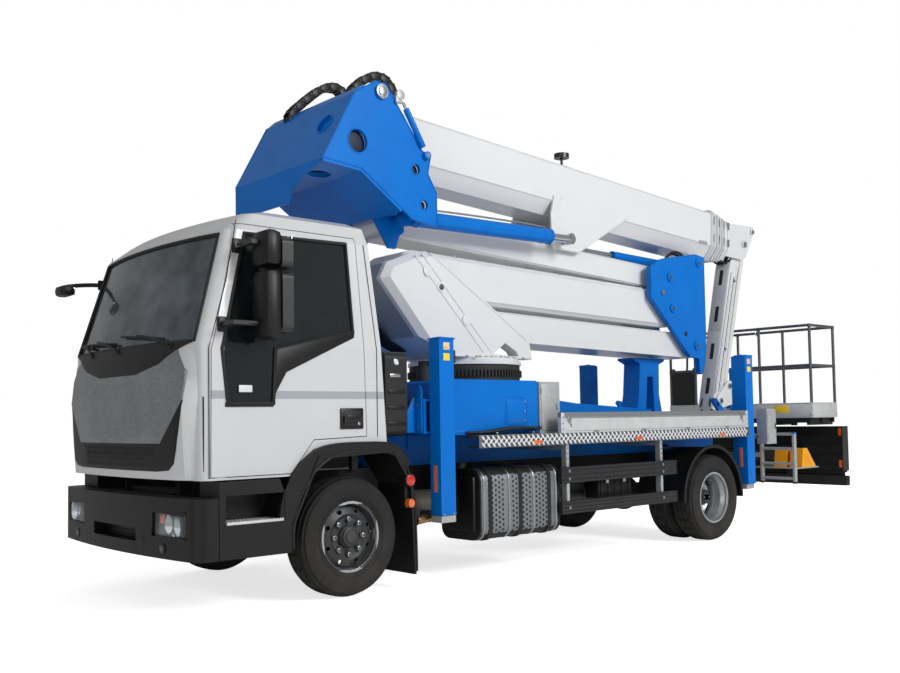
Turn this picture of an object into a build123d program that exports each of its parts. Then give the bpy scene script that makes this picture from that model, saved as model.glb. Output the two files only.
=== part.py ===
from build123d import *
import math
import os

# Cherry picker truck: a forward-control two-axle truck that carries a slewing turret, a folded
# pantograph of two arms, a telescopic boom, a jib and a basket.
# Millimetres. X forward, Y to the truck's left, Z up. The origin is on the ground, under the
# middle of the overall length. Side-view places are given as (distance behind the front axle,
# height), so a minus sign means ahead of that axle.

# ---------------------------------------------------------------- driving dimensions
overall_length = 8790
front_overhang = 1330
wheelbase = 4455
tyre_radius = 430
tyre_width = 262
rim_radius = 255
front_track_half = 905          # middle of a front tyre
rear_outer_half = 1035          # middle of an outer rear tyre
twin_spacing = 292
body_half_width = 1170
rail_half = 400                 # middle of a chassis rail
rail_bottom = 620
rail_top = 880
deck_top = 1128
deck_edge_bottom = 1030
deck_front = 1167
deck_rear = 5110
board_front = 2126
locker_back = (2028, 2290)
board_top = 1304

cab_half = 1050
cab_floor = 890
cab_wall = 45

slew_back = 2100                # slewing axis, behind the front axle
slew_radius = 520
base_top = 1580                 # top of the blue base box
ring_top = 1785
rear_leg_back = 5190            # middle of a rear outrigger leg
rear_leg_y = 1056

run_fit = 0.06                  # radial clearance of a pin in its bore

nose_x = overall_length / 2
axle_x = nose_x - front_overhang
rear_x = axle_x - wheelbase


def aft(distance):
    # x of a place that lies this far behind the front axle
    return axle_x - distance


# pivots of the arms, as (distance behind the front axle, height)
arm_foot = (1300, 2540)
link_foot = (1750, 2138)
arm_reach = (3680, -85)
arm_head = (arm_foot[0] + arm_reach[0], arm_foot[1] + arm_reach[1])
link_head = (link_foot[0] + arm_reach[0], link_foot[1] + arm_reach[1])
upper_foot = (4940, 2800)
upper_head = (1060, 2975)
boom_pivot = (617, 3900)
boom_slope = math.degrees(math.atan2(257, 4625))
cylinder_eye = (3160, 3020)
pull_foot = (5500, 3010)
pull_eye = (3650, 3045)
jib_pivot = (6830, 3400)
jib_tip = (6250, 1430)
jib_link_offset = (195, 180)
link_top = (jib_pivot[0] + jib_link_offset[0], jib_pivot[1] + jib_link_offset[1])
link_low = (jib_tip[0] + jib_link_offset[0], jib_tip[1] + jib_link_offset[1])
carrier_pivot = (6548, 1470)
basket_turn = 6650


# ---------------------------------------------------------------- shape helpers
def slab(outline, y_from, y_to, mode=Mode.ADD, inset=0):
    # a side-view outline of (distance behind the front axle, height), as a plate across the truck
    with BuildSketch(Plane.XZ.offset(-y_from)) as side:
        with BuildLine():
            Polyline(*[(aft(back), height) for back, height in outline], close=True)
        make_face()
        if inset:
            offset(amount=-inset, kind=Kind.INTERSECTION, mode=Mode.REPLACE)
    extrude(side.sketch, amount=-(y_to - y_from), mode=mode)


def front_slab(outline, x_from, x_to, mode=Mode.ADD):
    # a front-view outline of (y, height), as a plate along the truck
    with BuildSketch(Plane.YZ.offset(x_from)) as front:
        with BuildLine():
            Polyline(*outline, close=True)
        make_face()
    extrude(front.sketch, amount=x_to - x_from, mode=mode)


def bar(back, y_span, z_span, mode=Mode.ADD):
    # a box between two distances behind the front axle, two widths and two heights
    centre = (aft(sum(back) / 2), sum(y_span) / 2, sum(z_span) / 2)
    size = (abs(back[1] - back[0]), abs(y_span[1] - y_span[0]), abs(z_span[1] - z_span[0]))
    with Locations(centre):
        Box(*size, mode=mode)


def cross_pin(place, radius, y_span, mode=Mode.ADD):
    # a cylinder across the truck, centred on a side-view place
    centre = (aft(place[0]), sum(y_span) / 2, place[1])
    with Locations(Location(centre, (90, 0, 0))):
        Cylinder(radius, abs(y_span[1] - y_span[0]), mode=mode)


def long_bar(start, end, radius, y=0, mode=Mode.ADD):
    # a round bar between two side-view places
    run = (aft(end[0]) - aft(start[0]), end[1] - start[1])
    length = math.hypot(*run)
    direction = Vector(run[0], 0, run[1]).normalized()
    with BuildSketch(Plane(origin=(aft(start[0]), y, start[1]), x_dir=(0, 1, 0), z_dir=direction)) as ring:
        Circle(radius)
    extrude(ring.sketch, amount=length, mode=mode)


def beam_places(start, end, places):
    # side-view places given as (distance along a line from start towards end, distance beside it)
    run = (end[0] - start[0], end[1] - start[1])
    length = math.hypot(*run)
    along = (run[0] / length, run[1] / length)
    return [(start[0] + along[0] * s - along[1] * t, start[1] + along[1] * s + along[0] * t) for s, t in places]


def beam_outline(start, end, half_height):
    # the four corners of a straight beam between two side-view places
    length = math.dist(start, end)
    return beam_places(start, end, [(0, -half_height), (length, -half_height), (length, half_height),
                                    (0, half_height)])


def save(piece, label):
    piece.part.label = label
    export_step(piece.part, f"parts/{label}.step")


os.makedirs("parts", exist_ok=True)
sides = {"left": 1, "right": -1}

# ---------------------------------------------------------------- chassis frame
# ladder frame: two channel rails, round cross tubes, and the narrower rear extension
with BuildPart() as chassis_frame:
    for side in (1, -1):
        inner = side * (rail_half - 35)
        outer = side * (rail_half + 35)
        web = side * (rail_half + 27)
        bar((-1040, 5560), (web, outer), (rail_bottom, rail_top))
        for flange in ((rail_bottom, rail_bottom + 8), (rail_top - 8, rail_top)):
            bar((-1040, 5560), (inner, web), flange)
        bar((5560, 7395), (side * 365, side * 435), (700, 820))
    for back in (-960, 900, 2300, 3500, 5350):
        bar((back - 45, back + 45), (-rail_half - 27, rail_half + 27), (690, 800))
    bar((6900, 6980), (-365, 365), (700, 820))
save(chassis_frame, "chassis_frame")

# ---------------------------------------------------------------- engine, one plain block
with BuildPart() as engine_block:
    bar((-700, 380), (-300, 300), (500, 1040))
save(engine_block, "engine_block")

# ---------------------------------------------------------------- axles
king_pin_half = 800
king_pin_radius = 22
eye_half_height = 55
spindle_radius = 38
with BuildPart() as front_axle:
    beam_z = 400
    bar((-45, 45), (-king_pin_half + 60, king_pin_half - 60), (beam_z - 40, beam_z + 20))
    for side in (1, -1):
        bar((-45, 45), (side * 640, side * (king_pin_half - 30)), (beam_z - 22, tyre_radius + eye_half_height))
        with Locations((aft(0), side * king_pin_half, tyre_radius)):
            Cylinder(48, 2 * eye_half_height)
            Cylinder(king_pin_radius + run_fit, 2 * eye_half_height, mode=Mode.SUBTRACT)
        for leaf in range(3):
            reach = 620 - 130 * leaf
            bar((-reach, reach), (side * 365, side * 435), (beam_z + 20 + 16 * (2 - leaf), beam_z + 34 + 16 * (2 - leaf)))
        bar((-60, 60), (side * 365, side * 435), (beam_z - 40, beam_z + 66))
        for hanger in (-620, 585):
            bar((hanger, hanger + 35), (side * 370, side * 430), (beam_z + 60, rail_bottom))
save(front_axle, "front_axle")

with BuildPart() as rear_axle:
    centre = (wheelbase, tyre_radius)
    cross_pin(centre, 75, (-640, 640))
    cross_pin(centre, spindle_radius + 12, (-rear_outer_half - 20, rear_outer_half + 20))
    with Locations((rear_x, 0, tyre_radius)):
        Sphere(185)
    long_bar((wheelbase - 330, tyre_radius + 45), (wheelbase, tyre_radius + 10), 70)
    for side in (1, -1):
        for leaf in range(4):
            reach = 760 - 140 * leaf
            low = tyre_radius + 75 + 16 * (3 - leaf)
            bar((wheelbase - reach, wheelbase + reach), (side * 365, side * 435), (low, low + 14))
        bar((wheelbase - 70, wheelbase + 70), (side * 365, side * 435), (tyre_radius + 40, tyre_radius + 137))
        for hanger in (-760, 725):
            bar((wheelbase + hanger, wheelbase + hanger + 35), (side * 370, side * 430),
                (tyre_radius + 130, rail_bottom))
    # propeller shaft from the engine to the axle's pinion
    long_bar((386, 640), (wheelbase - 320, tyre_radius + 44), 45)
save(rear_axle, "rear_axle")


# ---------------------------------------------------------------- tyres and wheels
def tyre_ring(back, y_middle):
    # one tyre: crowned tread with three grooves, rounded sidewalls, open at the rim
    half = tyre_width / 2
    with BuildSketch(Plane(origin=(aft(back), y_middle, tyre_radius), x_dir=(0, 1, 0), z_dir=(1, 0, 0))) as section:
        with BuildLine():
            Polyline((-half + 28, rim_radius), (half - 28, rim_radius))
            ThreePointArc((half - 28, rim_radius), (half, rim_radius + 95), (half - 18, tyre_radius - 22))
            ThreePointArc((half - 18, tyre_radius - 22), (half - 24, tyre_radius - 10), (half - 38, tyre_radius - 3))
            ThreePointArc((half - 38, tyre_radius - 3), (0, tyre_radius), (38 - half, tyre_radius - 3))
            ThreePointArc((38 - half, tyre_radius - 3), (24 - half, tyre_radius - 10), (18 - half, tyre_radius - 22))
            ThreePointArc((18 - half, tyre_radius - 22), (-half, rim_radius + 95), (28 - half, rim_radius))
        make_face()
        for groove in (-52, 0, 52):
            with Locations((groove, tyre_radius)):
                Rectangle(10, 26, mode=Mode.SUBTRACT)
    revolve(section.sketch, Axis((aft(back), y_middle, tyre_radius), (0, 1, 0)))


def rim_disc(back, y_middle, side, disc_at, bore, hub_reach):
    # one wheel: barrel with lips, dished disc with hand holes, hub and eight nuts
    # disc_at is how far the disc's bolting face stands outboard of the tyre's middle
    half = tyre_width / 2 - 30
    centre = (aft(back), y_middle, tyre_radius)
    axis = Axis(centre, (0, side, 0))
    plane = Plane(origin=centre, x_dir=(0, side, 0), z_dir=(side, 0, 0))
    with BuildSketch(plane) as section:
        with BuildLine():
            Polyline((-half, rim_radius), (-half, rim_radius - 22), (-half + 60, rim_radius - 40),
                     (half - 60, rim_radius - 40), (half - 20, rim_radius - 22), (half + 8, rim_radius - 18),
                     (half + 8, rim_radius - 1), (half, rim_radius), close=True)
        make_face()
        with BuildLine():
            Polyline((disc_at - 12, bore), (disc_at, bore), (disc_at, 135), (disc_at + 22, 165),
                     (disc_at - 5, rim_radius - 38), (disc_at - 19, rim_radius - 38), (disc_at + 8, 165),
                     (disc_at - 12, 135), close=True)
        make_face()
        with BuildLine():
            Polyline((disc_at - 30, bore), (disc_at + hub_reach, bore), (disc_at + hub_reach, bore + 14),
                     (disc_at + hub_reach - 18, 78), (disc_at, 84), (disc_at - 30, 84), close=True)
        make_face()
    revolve(section.sketch, axis)
    face = Plane(origin=(aft(back), y_middle + side * disc_at, tyre_radius), x_dir=(1, 0, 0), z_dir=(0, side, 0))
    with BuildSketch(face.offset(-60)) as hand_holes:
        with PolarLocations(190, 8, start_angle=22.5):
            Circle(17)
    extrude(hand_holes.sketch, amount=120, mode=Mode.SUBTRACT)
    with BuildSketch(face) as nuts:
        with PolarLocations(110, 8):
            RegularPolygon(15, 6)
    extrude(nuts.sketch, amount=24)


for name, side in sides.items():
    with BuildPart() as front_tyre:
        tyre_ring(0, side * front_track_half)
    save(front_tyre, f"front_tyre_{name}")

    with BuildPart() as front_wheel:
        rim_disc(0, side * front_track_half, side, 62, spindle_radius + run_fit, 48)
    save(front_wheel, f"front_wheel_{name}")

    with BuildPart() as rear_tyres:
        tyre_ring(wheelbase, side * rear_outer_half)
        tyre_ring(wheelbase, side * (rear_outer_half - twin_spacing))
    save(rear_tyres, f"rear_tyres_{name}")

    with BuildPart() as rear_wheel:
        rim_disc(wheelbase, side * rear_outer_half, side, -92, spindle_radius + 12 + run_fit, 88)
        rim_disc(wheelbase, side * (rear_outer_half - twin_spacing), side, 92, spindle_radius + 12 + run_fit, 20)
        cross_pin((wheelbase, tyre_radius), 82, (side * 812, side * 905))
        cross_pin((wheelbase, tyre_radius), spindle_radius + 12 + run_fit, (side * 560, side * 1130), Mode.SUBTRACT)
    save(rear_wheel, f"rear_wheel_{name}")

    # steering knuckle: fork round the axle's eye, king pin, spindle and brake disc
    with BuildPart() as knuckle:
        for level in (1, -1):
            with Locations((aft(0), side * king_pin_half, tyre_radius + level * (eye_half_height + 14.3))):
                Cylinder(46, 28)
        with Locations((aft(0), side * king_pin_half, tyre_radius)):
            Cylinder(king_pin_radius, 2 * eye_half_height + 30)
        bar((-38, 38), (side * (king_pin_half + 49), side * (king_pin_half + 70)), (tyre_radius - 83.3, tyre_radius + 83.3))
        for level in (1, -1):
            middle = tyre_radius + level * (eye_half_height + 14.3)
            bar((-38, 38), (side * king_pin_half, side * (king_pin_half + 60)), (middle - 14, middle + 14))
        cross_pin((0, tyre_radius), 175, (side * (king_pin_half + 52), side * (king_pin_half + 74)))
        cross_pin((0, tyre_radius), spindle_radius, (side * (king_pin_half + 50), side * (front_track_half + 106)))
    save(knuckle, f"steering_knuckle_{name}")

# ---------------------------------------------------------------- cab
# plan sections from floor to roof: height, rear wall and front corner (both as x from the front
# axle, forward positive), half width, and how far the nose bows ahead of its corners
cab_sections = (
    (890, -325, 1195, 1050, 80),
    (1790, -268, 1195, 1050, 85),
    (2560, -205, 965, 985, 90),
    (2690, -190, 800, 930, 80),
    (2735, -110, 640, 830, 60),
)


def cab_form(inset, floor, roof):
    # the cab's outer form, drawn in by an inset on every side, between two heights
    plans = []
    for height, rear, corner, half, bow in cab_sections:
        level = min(max(height, floor), roof)
        with BuildSketch(Plane.XY.offset(level)) as plan:
            with BuildLine():
                back = axle_x + rear + inset
                front = axle_x + corner - inset
                wide = half - inset
                Polyline((front - 90, -wide), (back, -wide), (back, wide), (front - 90, wide))
                ThreePointArc((front - 90, wide), (front - 26, wide - 26), (front, wide - 95))
                ThreePointArc((front, wide - 95), (front + bow, 0), (front, 95 - wide))
                ThreePointArc((front, 95 - wide), (front - 26, 26 - wide), (front - 90, -wide))
            make_face()
        plans.append(plan.sketch)
    loft(plans, ruled=True)


with BuildPart() as cab_outer:
    cab_form(0, cab_floor, 2735)
with BuildPart() as cab_inner:
    cab_form(cab_wall, cab_floor + 50, 2735 - cab_wall)
with BuildPart() as glass_outer:
    cab_form(6, cab_floor, 2729)
with BuildPart() as glass_inner:
    cab_form(13, cab_floor, 2722)

door_outline = [(-900, 2605), (-1129, 1740), (-1135, 905), (-520, 905), (-335, 1130), (130, 1145), (90, 2605)]
door_gap = 6
side_window = [(-845, 2535), (0, 2550), (17, 1905), (-640, 1760), (-661, 1385), (-1012, 1385), (-1050, 1745)]
windscreen_outline = [(-955, 1800), (955, 1800), (885, 2530), (-885, 2530)]
wheel_arch_cut = [(560, 700), (560, 1085), (-315, 1062), (-545, 800), (-545, 700)]


with BuildPart() as cab_shell:
    add(cab_outer.part)
    add(cab_inner.part, mode=Mode.SUBTRACT)
    slab(door_outline, -1100, -880, Mode.SUBTRACT)
    slab(door_outline, 880, 1100, Mode.SUBTRACT)
    front_slab(windscreen_outline, aft(-700), aft(-1400), Mode.SUBTRACT)
    slab(wheel_arch_cut, -1100, -560, Mode.SUBTRACT)
    slab(wheel_arch_cut, 560, 1100, Mode.SUBTRACT)
    # sills that the doors close over
    for side in (1, -1):
        bar((-1090, -560), (side * 860, side * (cab_half - cab_wall - 8)), (cab_floor, cab_floor + 50))
    # inner housings over the wheels, and the engine tunnel between the seats
    for side in (1, -1):
        slab([(300, 1085), (300, 1112), (-328, 1090), (-502, 892), (-464, 892), (-315, 1062)],
             side * 560, side * (cab_half - cab_wall - 8))
        slab([(300, 892), (300, 1112), (-328, 1090), (-502, 892)], side * 530, side * 565)
    bar((-720, 300), (-340, 340), (1060, 1100))
    for side in (1, -1):
        bar((-720, 300), (side * 310, side * 340), (cab_floor + 40, 1070))
    bar((-750, -710), (-340, 340), (cab_floor + 40, 1100))
    bar((-710, 400), (-310, 310), (850, 1060), Mode.SUBTRACT)
save(cab_shell, "cab_shell")

with BuildPart() as windscreen:
    add(glass_outer.part)
    add(glass_inner.part, mode=Mode.SUBTRACT)
    front_slab([(-951, 1804), (951, 1804), (882, 2526), (-882, 2526)], aft(-700), aft(-1400), Mode.INTERSECT)
save(windscreen, "windscreen")


def front_skin(outlines, stand_out, label):
    # panels that lie on the cab's bowed nose and stand out from it
    with BuildPart() as panel_blocks:
        for outline in outlines:
            front_slab(outline, aft(-1080), aft(-1400))
    with BuildPart() as skin:
        cab_form(-stand_out, cab_floor, 2735)
        add(cab_outer.part, mode=Mode.SUBTRACT)
        add(panel_blocks.part, mode=Mode.INTERSECT)
    save(skin, label)


# speckled panel between the lamps' height and the windscreen, black cowl above it, mesh grille below
front_skin([[(-905, 1655), (905, 1655), (880, 1330), (640, 1135), (-640, 1135), (-880, 1330)],
            [(-965, 1795), (965, 1795), (930, 1665), (-930, 1665)],
            [(-630, 1125), (630, 1125), (560, 900), (-560, 900)]], 14, "nose_panels")

# black bumper wrapped round the nose, with a recess for each headlamp
bumper_bottom = 379
bumper_top = 779
with BuildPart() as bumper:
    with BuildSketch(Plane.XY.offset(bumper_bottom)) as wrap:
        with BuildLine():
            Polyline((aft(-1100), 1088), (aft(-1165), 1088))
            ThreePointArc((aft(-1165), 1088), (aft(-1235), 1055), (aft(-1262), 985))
            ThreePointArc((aft(-1262), 985), (aft(-1330), 0), (aft(-1262), -985))
            ThreePointArc((aft(-1262), -985), (aft(-1235), -1055), (aft(-1165), -1088))
            Polyline((aft(-1165), -1088), (aft(-1100), -1088), (aft(-1100), -960), (aft(-1150), -900),
                     (aft(-1150), 900), (aft(-1100), 960), (aft(-1100), 1088))
        make_face()
    extrude(wrap.sketch, amount=bumper_top - bumper_bottom)
    bar((-1400, -1225), (-350, 350), (470, 560), Mode.SUBTRACT)
    for side in (1, -1):
        front_slab([(side * 560, 520), (side * 950, 535), (side * 965, 660), (side * 575, 680)],
                   aft(-1185), aft(-1400), Mode.SUBTRACT)
    bar((-1240, -1060), (-rail_half - 35, 35 - rail_half), (700, 779))
    bar((-1240, -1060), (rail_half - 35, rail_half + 35), (700, 779))
save(bumper, "bumper")

panel_back = 7400
with BuildPart() as lamps:
    for side in (1, -1):
        front_slab([(side * 566, 527), (side * 944, 541), (side * 958, 654), (side * 581, 673)],
                   aft(-1186), aft(-1238))
        bar((panel_back + 12, 7458), (side * 720, side * 1060), (600, 730))
    bar((panel_back + 12, 7425), (-260, 260), (600, 720))
save(lamps, "lamps")

# step boxes under the doors with the wheel-arch liners and mud flaps behind them, and the rear
# mudguards
arch_liner = [(-545, 400), (-545, 560), (-325, 1018), (345, 1045), (520, 790), (548, 110),
              (530, 110), (505, 780), (338, 1027), (-314, 1000), (-527, 556), (-527, 400)]
with BuildPart() as mudguards:
    for side in (1, -1):
        slab([(-1095, bumper_bottom), (-1095, 880), (-640, 880), (-545, 640), (-545, bumper_bottom)],
             side * 830, side * 1088)
        bar((-1050, -600), (side * 870, side * 1200), (600, 790), Mode.SUBTRACT)
        slab(arch_liner, side * 690, side * 1092)
        bar((-1040, -1000), (side * 435, side * 840), (700, 760))
        for inner, outer, reach in ((578, 590, 512), (1132, 1150, 530)):
            with BuildSketch(Plane.XZ.offset(-side * outer)) as arc:
                with Locations((rear_x, tyre_radius)):
                    Circle(reach)
                    Circle(500, mode=Mode.SUBTRACT)
                with Locations((rear_x, tyre_radius - 300)):
                    Rectangle(1100, 560, mode=Mode.SUBTRACT)
            extrude(arc.sketch, amount=side * (outer - inner))
        with BuildSketch(Plane.XZ.offset(-side * 1132)) as guard:
            with Locations((rear_x, tyre_radius)):
                Circle(508)
                Circle(500, mode=Mode.SUBTRACT)
            with Locations((rear_x, tyre_radius - 300)):
                Rectangle(1100, 560, mode=Mode.SUBTRACT)
        extrude(guard.sketch, amount=side * (1132 - 590))
        bar((wheelbase - 15, wheelbase + 15), (side * 435, side * 590), (930, 960))
save(mudguards, "mudguards")

# dashboard with the steering column and wheel on the left, and two seats
with BuildPart() as cab_interior:
    slab([(-1255, 1560), (-1255, 1700), (-1060, 1745), (-800, 1690), (-730, 1560), (-820, 1330), (-1000, 1290),
          (-1150, 1330)], -cab_half + 120, cab_half - 120)
    bar((-1160, -900), (-500, 500), (1101, 1340))
    add(cab_inner.part, mode=Mode.INTERSECT)
    long_bar((-820, 1480), (-520, 1690), 38, 520)
    hub = Plane(origin=(aft(-512), 520, 1696), x_dir=(0, 1, 0), z_dir=Vector(-300, 0, 210).normalized())
    with BuildSketch(hub) as spokes:
        Circle(62)
        Rectangle(440, 46)
    extrude(spokes.sketch, amount=18)
    with BuildSketch(Plane(origin=hub.origin + hub.x_dir * 222, x_dir=hub.x_dir, z_dir=hub.y_dir)) as rim:
        with Locations((0, 9)):
            Circle(16)
    revolve(rim.sketch, Axis(hub.origin, hub.z_dir))
    for middle in (540, -540):
        slab([(-180, 1096), (200, 1109), (200, 1290), (-180, 1290)], middle - 190, middle + 190)
        slab([(-240, 1290), (-240, 1400), (-100, 1410), (90, 1375), (125, 2010), (145, 2130), (180, 2130), (215, 1290)],
             middle - 250, middle + 250)
        bar((95, 165), (middle - 130, middle + 130), (2130, 2290))
save(cab_interior, "cab_interior")

# ---------------------------------------------------------------- doors, glass and mirrors
for name, side in sides.items():
    y_span = (side * 880, side * 1100)
    with BuildPart() as door:
        add(cab_outer.part)
        add(cab_inner.part, mode=Mode.SUBTRACT)
        slab(door_outline, *y_span, Mode.INTERSECT, inset=door_gap)
        slab(side_window, *y_span, Mode.SUBTRACT)
        bar((-1150, -400), (side * 860, side * (cab_half - cab_wall - 2)), (cab_floor, cab_floor + 52), Mode.SUBTRACT)
        # lever handle on a recessed plate
        bar((-110, 88), (side * (cab_half - 4), side * (cab_half + 10)), (1205, 1350))
        bar((-90, 60), (side * (cab_half + 10), side * (cab_half + 30)), (1255, 1295))
        # two arms from the door's front frame, and two mirror shells on a post between them
        for front, level, root in ((-1062, 1905, 1000), (-926, 2440, 960)):
            bar((front, front + 32), (side * root, side * 1222), (level - 13, level + 13))
            bar((front, -745), (side * 1196, side * 1222), (level - 13, level + 13))
        bar((-771, -745), (side * 1196, side * 1222), (1892, 2453))
        with BuildSketch(Plane.YZ.offset(aft(-752))) as shells:
            for middle, height in ((2050, 400), (2375, 210)):
                with Locations((side * 1209, middle)):
                    RectangleRounded(215, height, 45)
        extrude(shells.sketch, amount=-85)
    save(door, f"door_{name}")

    with BuildPart() as door_glass:
        add(glass_outer.part)
        add(glass_inner.part, mode=Mode.SUBTRACT)
        slab(side_window, *y_span, Mode.INTERSECT, inset=0.5)
    save(door_glass, f"door_glass_{name}")

# ---------------------------------------------------------------- blue subframe
# box girder under the deck, the base box that carries the slewing ring, the spine behind it, the
# saddle post for the folded arms, the housing of the front outriggers and the fixed rear legs
front_beam_back = 835
front_leg_y = 1085
leg_span = (531, 1880)
ram_radius = 36
with BuildPart() as subframe:
    for side in (1, -1):
        bar((620, 5560), (side * 330, side * 430), (rail_top, 1020))
    slab([(1030, 1135), (1030, 1560), (1050, base_top), (2000, base_top), (2020, 1560), (2020, 1135)], -1000, 1000)
    bar((1030, 2020), (-430, 430), (1020, 1135))
    slab([(2020, 1135), (2020, 1560), (2650, 1470), (3300, 1400), (4560, 1330), (4560, 1135)], -330, 330)
    slab([(2020, 1010), (2020, 1140), (5340, 1140), (5340, 1010)], -330, 330)
    bar((front_beam_back - 125, front_beam_back + 125), (-1010, 1010), (1150, 1420))
    bar((front_beam_back - 125, 1035), (-420, 420), (1020, 1150))
    bar((front_beam_back - 97, front_beam_back + 97), (-1100, 1100), (1165 - 8, 1405 + 8), Mode.SUBTRACT)
    bar((5080, 5345), (-975, 975), (1020, 1290))
    with Locations((aft(slew_back), 0, base_top + 12)):
        Cylinder(slew_radius + 60, 24)
    # rear lifting lugs
    for side in (1, -1):
        slab([(5345, 1020), (5345, 1290), (5210, 1420), (5240, 1450), (5300, 1440), (5480, 1290), (5560, 1020)],
             side * 640, side * 670)
    cross_pin((5318, 1372), 25, (-700, 700), Mode.SUBTRACT)
    for side in (1, -1):
        bar((rear_leg_back - 72, rear_leg_back + 72), (side * 970, side * 1136), leg_span)
        with Locations((aft(rear_leg_back), side * rear_leg_y, 1000)):
            Cylinder(ram_radius + 1, 2600, mode=Mode.SUBTRACT)
        bar((rear_leg_back - 72, rear_leg_back + 72), (side * 976, side * 1136), (1880, 1886))
    # saddle post, forked in its middle
    slab([(4572, 1135), (4592, 1300), (4640, 1500), (4672, 1840), (4560, 1880), (4560, 1906), (5120, 1906),
          (5120, 1880), (5020, 1840), (5010, 1500), (5060, 1300), (5090, 1135)], -110, 110)
    slab([(4762, 1300), (4800, 1700), (4900, 1700), (4920, 1300)], -200, 200, Mode.SUBTRACT)
save(subframe, "subframe")

# black slewing ring's fixed half with its row of teeth, and the drive beside it
with BuildPart() as slew_ring:
    with Locations((aft(slew_back), 0, (base_top + 24 + ring_top - 40) / 2)):
        Cylinder(slew_radius, ring_top - 40 - base_top - 24)
        Cylinder(slew_radius - 90, 400, mode=Mode.SUBTRACT)
    with BuildSketch(Plane(origin=(aft(slew_back), 0, base_top + 60))) as teeth:
        with PolarLocations(slew_radius + 6, 96):
            Rectangle(24, 16)
    extrude(teeth.sketch, amount=60)
    with Locations((aft(slew_back - slew_radius - 118), 150, base_top + 75)):
        Cylinder(70, 150)
    with Locations((aft(slew_back - slew_radius - 118), 150, base_top + 175)):
        Cylinder(48, 50)
save(slew_ring, "slew_ring")

# ---------------------------------------------------------------- deck
# floor with its cross-bearers, the edge strips and the aluminium drop sides under a rounded rail
with BuildPart() as deck:
    deck_side = body_half_width - 22
    bar((deck_front, deck_rear), (-deck_side, deck_side), (deck_top - 28, deck_top))
    bar((1010, 2040), (-1010, 1010), (deck_top - 40, deck_top + 20), Mode.SUBTRACT)
    bar((1900, 5345), (-440, 440), (deck_top - 40, deck_top + 20), Mode.SUBTRACT)
    bar((5070, 5345), (-985, 985), (deck_top - 40, deck_top + 20), Mode.SUBTRACT)
    for side in (1, -1):
        # the lockers stand through the floor
        bar(locker_back, (side * 640, side * 1010), (deck_top - 40, deck_top + 20), Mode.SUBTRACT)
        for back in (2300, 3000, 3700, 4950):
            bar((back, back + 50), (side * 431, side * (deck_side - 6)), (deck_top - 88, deck_top - 28))
        bar((deck_front, deck_rear), (side * deck_side, side * body_half_width), (deck_edge_bottom, deck_top))
        bar((deck_front, 2040), (side * 1012, side * deck_side), (deck_edge_bottom, deck_edge_bottom + 12))
        bar((board_front, deck_rear - 15), (side * 1132, side * 1158), (deck_top, board_top - 40))
        bar((board_front, deck_rear - 15), (side * 1128, side * 1166), (board_top - 40, board_top))
        for back in (board_front, deck_rear - 60):
            bar((back, back + 45), (side * 1128, side * 1166), (deck_top, board_top - 40))
save(deck, "deck")

with BuildPart() as side_guards:
    for side in (1, -1):
        for rail in ((700, 833), (436, 540)):
            bar((2125, 3790), (side * 1128, side * 1164), rail)
        for back in (2205, 3555):
            bar((back, back + 34), (side * 1092, side * 1128), (436, deck_edge_bottom - 2))
            bar((back, back + 34), (side * 430, side * 1092), (980, 1015))
save(side_guards, "side_guards")

# ---------------------------------------------------------------- tank, boxes and exhaust
tank_span = (1210, 2160)
with BuildPart() as fuel_tank:
    with BuildSketch(Plane.YZ.offset(aft(tank_span[0]))) as tank_section:
        with Locations(((640 + 1100) / 2, (288 + 859) / 2)):
            RectangleRounded(460, 571, 95)
    extrude(tank_section.sketch, amount=tank_span[0] - tank_span[1])
    for back in (1300, 1650, 2000):
        with BuildSketch(Plane.YZ.offset(aft(back))) as strap:
            with Locations(((640 + 1100) / 2, (288 + 859) / 2)):
                RectangleRounded(476, 587, 100)
        extrude(strap.sketch, amount=-42)
        bar((back, back + 42), (436, 700), (790, 850))
save(fuel_tank, "fuel_tank")

# battery box, air tanks, deck lockers, valve boxes behind the rear legs, and the exhaust
with BuildPart() as side_boxes:
    bar((1210, 1900), (-1100, -640), (330, 840))
    for back in (1350, 1700):
        bar((back, back + 42), (-700, -436), (780, 840))
    # air filter housing on its bracket behind the cab
    with BuildSketch(Plane.YZ.offset(aft(345))) as filter_box:
        with Locations((810, 1460)):
            RectangleRounded(380, 640, 60)
    extrude(filter_box.sketch, amount=345 - 557)
    bar((400, 460), (436, 780), (1100, 1145))
    bar((400, 460), (436, 496), (880, 1100))
    for side in (1, -1):
        for middle in (2650, 3250):
            with Locations(Location((aft(middle), side * 720, 560), (0, 90, 0))):
                Cylinder(125, 480)
            bar((middle - 20, middle + 20), (side * 436, side * 700), (640, 700))
        bar(locker_back, (side * 640, side * 1010), (deck_top - 28, 1572))
        bar((5575, 5770), (side * 985, side * 1105), (935, 1317))
        bar((5575, 5600), (side * 436, side * 990), (1000, 1050))
    with Locations(Location((aft(840), 640, 560), (0, 90, 0))):
        Cylinder(130, 540)
    bar((800, 840), (436, 560), (620, 690))
    cross_pin((900, 518), 30, (700, 962))
    long_bar((925, 521), (660, 487), 34, 960)
save(side_boxes, "side_boxes")

# ---------------------------------------------------------------- rear end
# black rear panel with grey side flanges, and the underrun bar below it
with BuildPart() as rear_panel:
    bar((panel_back, panel_back + 12), (-1100, 1100), (540, 1100))
    for side in (1, -1):
        bar((panel_back - 80, panel_back + 60), (side * 1088, side * 1100), (560, 1100))
        bar((7330, 7395), (side * 366, side * 434), (490, 699))
    bar((7395, panel_back), (-440, 440), (690, 830))
    bar((7330, 7420), (-1120, 1120), (385, 500))
    bar((7395, 7412), (-440, 440), (500, 560))
save(rear_panel, "rear_panel")

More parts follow.
